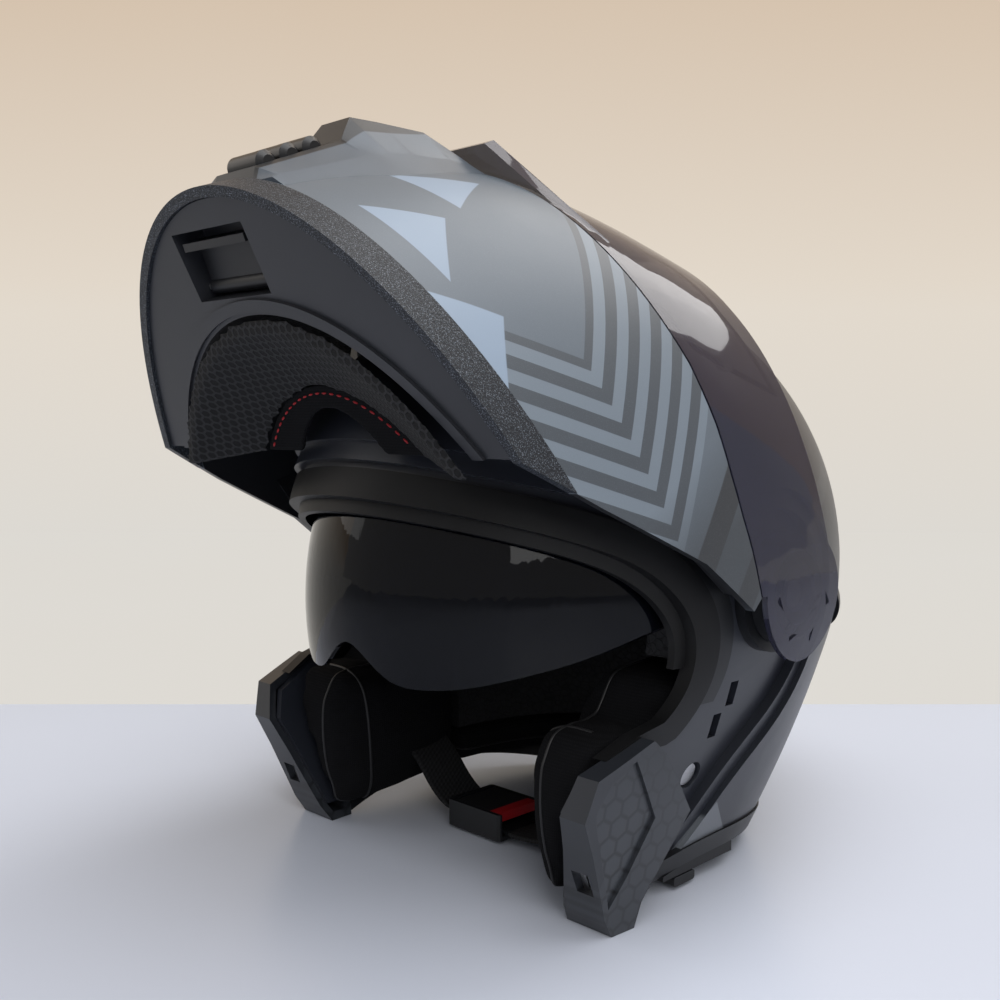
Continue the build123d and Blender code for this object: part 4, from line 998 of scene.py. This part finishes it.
@dataclass
class Padding(Helmet):
    """The linings: crowned cushions of knitted cloth over foam, with their seams."""

    voxel: float = 4.0 * MM
    swell: float = 5.0 * MM
    pressure: float = 4.0
    frames: int = 20
    piping: float = 0.6 * MM
    shortest_run: int = 12

    def cushion(self, node: str, name: str, look: Look, shrink: float, fill: float,
                inflated: bool = True, voxel: float = 0.0) -> bpy.types.Object:
        """Makes a soft cushion in the space of a CAD solid.

        Args:
            node: The CAD solid it replaces.
            name: The piece's name.
            look: The piece's finish.
            shrink: How far its walls are drawn in before it swells, in metres.
            fill: How full the cushion is; not used.
            inflated: Whether a cloth simulation swells it.
            voxel: Size of its remeshing, or 0 for the usual one.

        Returns:
            The piece.
        """
        piece = mesh_object(name, node_copy(self.frame, node), self.finishes[look], ALL_SMOOTH)
        remesh = piece.modifiers.new("remesh", "REMESH")
        remesh.mode = "VOXEL"
        remesh.voxel_size = voxel or self.voxel
        remesh.use_smooth_shade = True
        draw_in = piece.modifiers.new("draw_in", "DISPLACE")
        draw_in.strength = -shrink
        draw_in.mid_level = 0.0
        relax = piece.modifiers.new("relax", "SMOOTH")
        relax.factor = 0.5
        relax.iterations = 5
        bake(piece)
        if inflated:
            self.inflate(piece)
        finer = piece.modifiers.new("finer", "SUBSURF")
        finer.levels = finer.render_levels = 1
        bake(piece)
        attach(piece, self.frame["nodes"][node]["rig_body"])
        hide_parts(node)
        log.info("sewed %s, %d faces", name, len(piece.data.polygons))
        return piece

    def inflate(self, piece: bpy.types.Object) -> None:
        """Swells a cushion by a short cloth simulation, no point moving past the swell.

        Args:
            piece: The cushion, whose mesh is changed.
        """
        start = [v.co.copy() for v in piece.data.vertices]
        cloth = piece.modifiers.new("cloth", "CLOTH")
        cloth.settings.use_pressure = True
        cloth.settings.uniform_pressure_force = self.pressure
        cloth.settings.effector_weights.gravity = 0.0
        cloth.point_cache.frame_end = self.frames
        scene = bpy.context.scene
        for step in range(1, self.frames + 1):
            scene.frame_set(step)
        bake(piece)
        scene.frame_set(1)
        for vertex, old in zip(piece.data.vertices, start):
            move = vertex.co - old
            if move.length > self.swell:
                vertex.co = old + move * (self.swell / move.length)

    def seam(self, piece: bpy.types.Object, name: str, place: Sequence[float], across: Sequence[float],
             radius: float = 0.0, within: float = math.inf) -> None:
        """Lays piping where a plane cuts a cushion's surface.

        Args:
            piece: The cushion.
            name: The piping's name.
            place: A point of the plane.
            across: The plane's normal.
            radius: The piping's radius, or 0 for the usual one.
            within: How far from the helmet's middle plane it reaches.
        """
        shape = bmesh.new()
        shape.from_mesh(piece.data)
        whole = [*shape.verts, *shape.edges, *shape.faces]
        cut = set(bmesh.ops.bisect_plane(shape, geom=whole, plane_co=place, plane_no=across,
                                         dist=SLIVER)["geom_cut"])
        on_cut = {v for v in cut if isinstance(v, bmesh.types.BMVert) and abs(v.co.x) < within}
        links = {v: [e.other_vert(v) for e in v.link_edges if e in cut and e.other_vert(v) in on_cut]
                 for v in on_cut}
        runs: List[List[Vector]] = []
        left = set(on_cut)
        while left:
            ends = [v for v in left if len([n for n in links[v] if n in left]) < 2]
            step = min(ends or left, key=lambda v: (round(v.co.x, 6), round(v.co.y, 6), round(v.co.z, 6)))
            run = []
            while step is not None:
                left.discard(step)
                run.append(step.co.copy())
                ahead = [n for n in links[step] if n in left]
                step = ahead[0] if ahead else None
            if len(run) > self.shortest_run:
                runs.append(run[::3] + [run[-1]])
        shape.free()
        if runs:
            self.tube(name, runs, radius or self.piping, Look.PIPING, "helmet")
        log.info("piped %s in %d runs", name, len(runs))

    def build(self) -> None:
        """Makes the linings."""
        for side in Side:
            node = f"cheek_pad_{side.tag}"
            pad = self.cushion(node, f"cheek_cushion_{side.tag}", Look.PAD, shrink=3.5 * MM, fill=0.8)
            low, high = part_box(node)
            front = (low[1] + high[1]) / 2 - 16.0 * MM
            self.seam(pad, f"cheek_piping_{side.tag}", (0, front, 0), (0, 1, 0.12), radius=0.7 * MM,
                      within=83.0 * MM)
            self.seam(pad, f"cheek_edge_piping_{side.tag}", (side.value * 68.5 * MM, 0, 0), (1, 0, 0))
        crown = self.cushion("comfort_liner", "crown_lining", Look.KNIT, shrink=0.8 * MM, fill=0.5,
                             inflated=False)
        self.seam(crown, "crown_seam", (26.0 * MM, 0, 0), (1, 0, 0))
        self.seam(crown, "crown_seam_right", (-26.0 * MM, 0, 0), (1, 0, 0))
        neck = self.cushion("neck_roll", "neck_cushion", Look.KNIT, shrink=2.2 * MM, fill=0.8)
        self.seam(neck, "neck_seam", (0, 0, 20.0 * MM), (0, 0, 1))
        self.cushion("chin_mesh_pad", "chin_mesh", Look.MESH, shrink=0.3 * MM, fill=0.5, inflated=False,
                     voxel=1.2 * MM)
        self.cushion("breath_guard", "breath_curtain", Look.PAD, shrink=0.2 * MM, fill=0.4, inflated=False,
                     voxel=1.0 * MM)


@dataclass
class GuardStitches(Helmet):
    """The dashed row of bright thread along the edge of the breath guard.

    Attributes:
        half_width: Half the width of the ellipse that the row follows.
        length: The ellipse's reach to the front.
        centre: The ellipse's middle, measured along Y.
        height: The row's height, with the chin bar closed.
        pitch: Distance from one stitch to the next.
        stitch: Length of a stitch.
        radius: Radius of the thread.
        reach: Where the row ends, on each side of the front.
    """

    half_width: float = 78.5 * MM
    length: float = 128.5 * MM
    centre: float = 27.5 * MM
    height: float = 26.3 * MM
    pitch: float = 4.4 * MM
    stitch: float = 2.9 * MM
    radius: float = 0.45 * MM
    reach: float = math.radians(34.0)

    def build(self) -> None:
        """Sews the row, one small stitch after another."""
        turn = Matrix.Translation(PIVOT) @ Matrix.Rotation(-RAISE, 4, "X") @ Matrix.Translation(-PIVOT)
        shape = bmesh.new()
        angle, count = -self.reach, 0
        while angle < self.reach:
            run = Vector((self.half_width * math.cos(angle), self.length * math.sin(angle), 0))
            ahead = self.centre - self.length * math.cos(angle)
            place = Vector((self.half_width * math.sin(angle), ahead, self.height))
            lie = Matrix.Translation(place) @ run.to_track_quat("X", "Z").to_matrix().to_4x4()
            grow = Matrix.Diagonal((self.stitch / 2, self.radius, self.radius, 1.0))
            bmesh.ops.create_icosphere(shape, subdivisions=1, radius=1.0, matrix=turn @ lie @ grow)
            angle += self.pitch / run.length
            count += 1
        piece = mesh_object("guard_stitches", shape, self.finishes[Look.THREAD], 90.0)
        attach(piece, "chin_bar")
        log.info("sewed %d stitches", count)


@dataclass
class Straps(Helmet):
    """The chin strap's two lengths of webbing, with bar tacks at the buckle.

    Attributes:
        width: The webbing's width.
        middle: Y of the middle of the webbing.
        thickness: The webbing's thickness.
        ease: How far from a bend the webbing starts to turn.
        columns: Strips across the webbing's width.
        tack_place: X and Z of the middle of the bar tacks.
        tack_slope: How far the strap leans there.
        tack_pitch: Distances between stitches along and across the strap.
        tack_stitch: Half the length and half the width of a stitch.
        routes: Each strap's bends in front view, in millimetres.
    """

    width: float = 25.0 * MM
    middle: float = -7.5 * MM
    thickness: float = 1.8 * MM
    ease: float = 6.0 * MM
    columns: int = 8
    tack_place: Point = (46.5 * MM, 18.5 * MM)
    tack_slope: float = math.atan2(-15.0, 13.0)
    tack_pitch: Point = (2.6 * MM, 7.5 * MM)
    tack_stitch: Point = (1.0 * MM, 0.3 * MM)
    routes: Dict[str, Sequence[Point]] = field(default_factory=lambda: {
        "strap_left": ((87.0, 50.0), (53.0, 26.0), (40.0, 11.0), (24.0, 6.0), (6.0, 5.0)),
        "strap_right": ((-87.0, 50.0), (-53.0, 26.0), (-42.0, 12.0), (-31.0, 8.0)),
    })

    def eased(self, route: Sequence[Point]) -> List[Vector]:
        """Adds a point each side of every bend, so that the webbing bends softly there.

        Args:
            route: The strap's bends in front view, in millimetres.

        Returns:
            Points in metres.
        """
        bends = [Vector((x * MM, self.middle, z * MM)) for x, z in route]
        line = [bends[0]]
        for before, bend, after in zip(bends, bends[1:], bends[2:]):
            for other in (before, after):
                run = other - bend
                line.append(bend + run * min(0.4, self.ease / run.length))
        return line + [bends[-1]]

    def webbing(self, node: str, route: Sequence[Point]) -> bpy.types.Object:
        """Weaves one strap: an edge extruded along its route, then given its thickness.

        Args:
            node: The CAD solid it replaces.
            route: The strap's bends in front view, in millimetres.

        Returns:
            The strap.
        """
        line = self.eased(route)
        shape = bmesh.new()
        chart = shape.loops.layers.uv.new("weave")
        row = [shape.verts.new(line[0] + Vector((0, self.width * (i / self.columns - 0.5), 0)))
               for i in range(self.columns + 1)]
        edges = [shape.edges.new(pair) for pair in zip(row, row[1:])]
        along = {v: 0.0 for v in row}
        gone = 0.0
        for start, end in zip(line, line[1:]):
            gone += (end - start).length
            grown = bmesh.ops.extrude_edge_only(shape, edges=edges)["geom"]
            points = [g for g in grown if isinstance(g, bmesh.types.BMVert)]
            bmesh.ops.translate(shape, verts=points, vec=end - start)
            along.update({v: gone for v in points})
            edges = [g for g in grown if isinstance(g, bmesh.types.BMEdge)
                     and all(v in set(points) for v in g.verts)]
        for face in shape.faces:
            for loop in face.loops:
                loop[chart].uv = (along[loop.vert], loop.vert.co.y - self.middle)
        bmesh.ops.recalc_face_normals(shape, faces=shape.faces)
        piece = mesh_object(f"{node}_webbing", shape, self.finishes[Look.WEBBING], ALL_SMOOTH)
        soften = piece.modifiers.new("soften", "SUBSURF")
        soften.levels = soften.render_levels = 2
        wall = piece.modifiers.new("wall", "SOLIDIFY")
        wall.thickness = self.thickness
        wall.offset = 0.0
        rounded = piece.modifiers.new("rounded", "BEVEL")
        rounded.width = 0.4 * MM
        rounded.segments = 2
        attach(piece, "helmet")
        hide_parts(node)
        return piece

    def tacks(self) -> None:
        """Sews two short rows of pale thread on the left strap."""
        shape = bmesh.new()
        place = (self.tack_place[0], self.middle, self.tack_place[1])
        lean = Matrix.Translation(place) @ Matrix.Rotation(self.tack_slope, 4, "Y")
        half_length, half_width = self.tack_stitch
        grow = Matrix.Diagonal((half_length, half_width, half_width, 1.0))
        for column in range(-2, 3):
            for row in (-1, 1):
                spot = Matrix.Translation((column * self.tack_pitch[0], row * self.tack_pitch[1],
                                           self.thickness / 2))
                bmesh.ops.create_icosphere(shape, subdivisions=1, radius=1.0, matrix=lean @ spot @ grow)
        piece = mesh_object("strap_tack", shape, self.finishes[Look.TACK], 90.0)
        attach(piece, "helmet")

    def build(self) -> None:
        """Lays both straps."""
        for node, route in self.routes.items():
            piece = self.webbing(node, route)
            log.info("laid %s", piece.name)
        self.tacks()
        log.info("sewed the strap's tacks")


@dataclass(frozen=True)
class Lamp:
    """A soft square lamp.

    Attributes:
        name: The lamp's name.
        place: Where it hangs.
        aim: The point that it faces.
        size: Its width.
        watts: Its power.
        colour: Its colour.
    """

    name: str
    place: Sequence[float]
    aim: Sequence[float]
    size: float
    watts: float
    colour: Colour = (1, 1, 1)

    def hang(self) -> None:
        """Adds the lamp to the scene."""
        light = bpy.data.lights.new(self.name, "AREA")
        light.shape = "SQUARE"
        light.size = self.size
        light.energy = self.watts
        light.color = self.colour
        holder = bpy.data.objects.new(self.name, light)
        holder.location = self.place
        holder.rotation_euler = (Vector(self.aim) - Vector(self.place)).to_track_quat("-Z", "Y").to_euler()
        bpy.context.scene.collection.objects.link(holder)


@dataclass
class Studio:
    """The room: pale table and wall, soft light and the camera.

    Attributes:
        eye: Where the camera stands.
        azimuth: The camera's turn from the front, in degrees.
        pitch: How far it looks down, in degrees.
        lens: Its focal length in millimetres, on a sensor 36 mm wide.
        table_end: How far behind the helmet's middle the table ends.
        table_size: Half the table's width.
        table_drop: How far the table lies under the helmet's lowest point.
        wall_from: How far behind the helmet's middle the wall stands.
        wall_size: Half the wall's width.
        table_tones: The table's two tones.
        wall_tones: The wall's painted glow, from its foot to its top, and the tone of its blotches.
        room_tone: The tone of the light that the rest of the room gives.
        room_light: How much light that is.
        backdrop_tone: The tone of the rest of the room where it is seen or mirrored.
        backdrop_light: How bright it looks there.
        lamps: The lamps.
    """

    eye: Vector = field(default_factory=lambda: Vector((0.355, -0.3725, 0.193)))
    azimuth: float = 45.0
    pitch: float = 4.44
    lens: float = 41.2
    table_end: float = 0.2295
    table_size: float = 4.0
    table_drop: float = 0.2 * MM
    wall_from: float = 1.3
    wall_size: float = 7.0
    table_tones: Sequence[Colour] = ((0.66, 0.69, 0.78), (0.69, 0.72, 0.81))
    wall_tones: Sequence[Colour] = ((0.70, 0.69, 0.66), (0.76, 0.69, 0.60), (0.62, 0.48, 0.35),
                                    (0.70, 0.62, 0.53))
    room_tone: Colour = (0.93, 0.95, 1.0)
    room_light: float = 0.27
    backdrop_tone: Colour = (0.98, 0.95, 0.91)
    backdrop_light: float = 0.52
    lamps: Sequence[Lamp] = (
        Lamp("sky_lamp", (0.45, -0.15, 1.9), (0, 0, 0.15), 1.6, 25.0, (0.97, 0.98, 1.0)),
        Lamp("front_lamp", (1.5, -0.9, 1.1), (0, 0, 0.12), 1.2, 14.0),
        Lamp("back_lamp", (0.1, 1.35, 1.7), (0, 0, 0.2), 1.2, 14.0),
        Lamp("side_lamp", (-1.3, -0.7, 0.9), (0, 0, 0.15), 1.0, 3.0),
    )

    def ahead(self) -> Matrix:
        """The turn that takes +Y to the way the camera looks."""
        return Matrix.Rotation(math.radians(self.azimuth), 4, "Z")

    def table(self) -> None:
        """Lays the pale table, which ends behind the helmet."""
        shape = bmesh.new()
        place = self.ahead() @ Matrix.Translation((0, self.table_end - self.table_size, -self.table_drop))
        bmesh.ops.create_grid(shape, x_segments=1, y_segments=1, size=self.table_size, matrix=place)
        f = Finish("table_top")
        mottle = f.noise(f.place(), 3.0, 3.0)
        f.surface(Base_Color=f.blend(mottle, *self.table_tones), Roughness=0.30, Specular_IOR_Level=0.35)
        mesh_object("table_top", shape, f.material)

    def wall(self) -> None:
        """Stands the warm pale wall behind the table, on a ledge that joins the two; its light is painted in
        as a glow, darker and warmer towards the top.
        """
        shape = bmesh.new()
        place = self.ahead() @ Matrix.Translation((0, self.wall_from, self.wall_size))
        upright = place @ Matrix.Rotation(math.pi / 2, 4, "X")
        bmesh.ops.create_grid(shape, x_segments=1, y_segments=1, size=self.wall_size, matrix=upright)
        foot = [edge for edge in shape.edges if all(abs(v.co.z) < MM for v in edge.verts)]
        grown = bmesh.ops.extrude_edge_only(shape, edges=foot)["geom"]
        near = [g for g in grown if isinstance(g, bmesh.types.BMVert)]
        ledge = self.ahead() @ Vector((0, self.table_end - self.wall_from, -self.table_drop))
        bmesh.ops.translate(shape, verts=near, vec=ledge)
        f = Finish("back_wall")
        _, _, z = f.axes(f.place())
        mottle = f.noise(f.place(), 2.0, 2.0)
        height = z + 0.1
        # the wall's light is painted: it glows in these tones, darker and warmer towards the top, where the
        # camera or a reflection sees it
        foot_tone, middle_tone, top_tone, blotch = self.wall_tones
        paint = f.blend(height.above(0.25, 0.5), foot_tone, middle_tone)
        paint = f.blend(height.above(0.75, 0.6), paint, top_tone)
        paint = f.blend(mottle * 0.15, paint, blotch)
        seen = f.node("ShaderNodeLightPath", {}, {}, "Is Camera Ray")
        seen = seen.largest(f.node("ShaderNodeLightPath", {}, {}, "Is Glossy Ray"))
        seen = seen.largest(f.node("ShaderNodeLightPath", {}, {}, "Is Transmission Ray"))
        glow = f.blend(seen, (0.0, 0.0, 0.0), paint)
        f.surface(Base_Color=(0.02, 0.02, 0.02), Emission_Color=glow, Emission_Strength=1.0, Roughness=0.9,
                  Specular_IOR_Level=0.0)
        mesh_object("back_wall", shape, f.material)

    def camera(self) -> None:
        """Stands the camera where the photograph was taken."""
        scene = bpy.context.scene
        data = bpy.data.cameras.new("camera")
        data.lens = self.lens
        data.sensor_width = 36.0
        data.clip_start = 0.01
        holder = bpy.data.objects.new("camera", data)
        away, down = math.radians(self.azimuth), math.radians(self.pitch)
        ahead = Vector((-math.sin(away) * math.cos(down), math.cos(away) * math.cos(down), -math.sin(down)))
        holder.location = self.eye
        holder.rotation_euler = ahead.to_track_quat("-Z", "Y").to_euler()
        scene.collection.objects.link(holder)
        scene.camera = holder

    def surroundings(self) -> None:
        """Fills the rest of the room with soft light, and with a pale tone where it is seen."""
        world = bpy.data.worlds.new("room")
        bpy.context.scene.world = world
        world.use_nodes = True
        tree = world.node_tree
        plain = tree.nodes["Background"]
        plain.inputs[0].default_value = (*self.room_tone, 1.0)
        plain.inputs[1].default_value = self.room_light
        seen = tree.nodes.new("ShaderNodeBackground")
        seen.inputs[0].default_value = (*self.backdrop_tone, 1.0)
        seen.inputs[1].default_value = self.backdrop_light
        path = tree.nodes.new("ShaderNodeLightPath")
        either: Any = path.outputs["Is Camera Ray"]
        for ray in ("Is Glossy Ray", "Is Transmission Ray"):
            join = tree.nodes.new("ShaderNodeMath")
            join.operation = "MAXIMUM"
            tree.links.new(either, join.inputs[0])
            tree.links.new(path.outputs[ray], join.inputs[1])
            either = join.outputs[0]
        mix = tree.nodes.new("ShaderNodeMixShader")
        tree.links.new(either, mix.inputs[0])
        tree.links.new(plain.outputs[0], mix.inputs[1])
        tree.links.new(seen.outputs[0], mix.inputs[2])
        tree.links.new(mix.outputs[0], tree.nodes["World Output"].inputs[0])

    def build(self) -> None:
        """Sets out the room."""
        self.table()
        self.wall()
        self.camera()
        for lamp in self.lamps:
            lamp.hang()
        self.surroundings()
        bpy.context.scene.view_settings.view_transform = "Standard"
        log.info("set out the room with %d lamps", len(self.lamps))


def main() -> None:
    """Builds the helmet and its room."""
    logging.basicConfig(level=logging.INFO, format="%(name)s: %(message)s")
    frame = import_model()
    Studio().build()
    _, lever_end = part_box("buckle_lever")
    finishes = Finishes(tab_from=lever_end[0] - TAB_LENGTH).build()
    Hardware(frame, finishes).build()
    Padding(frame, finishes).build()
    GuardStitches(frame, finishes).build()
    Straps(frame, finishes).build()


if __name__ == "__main__":
    main()
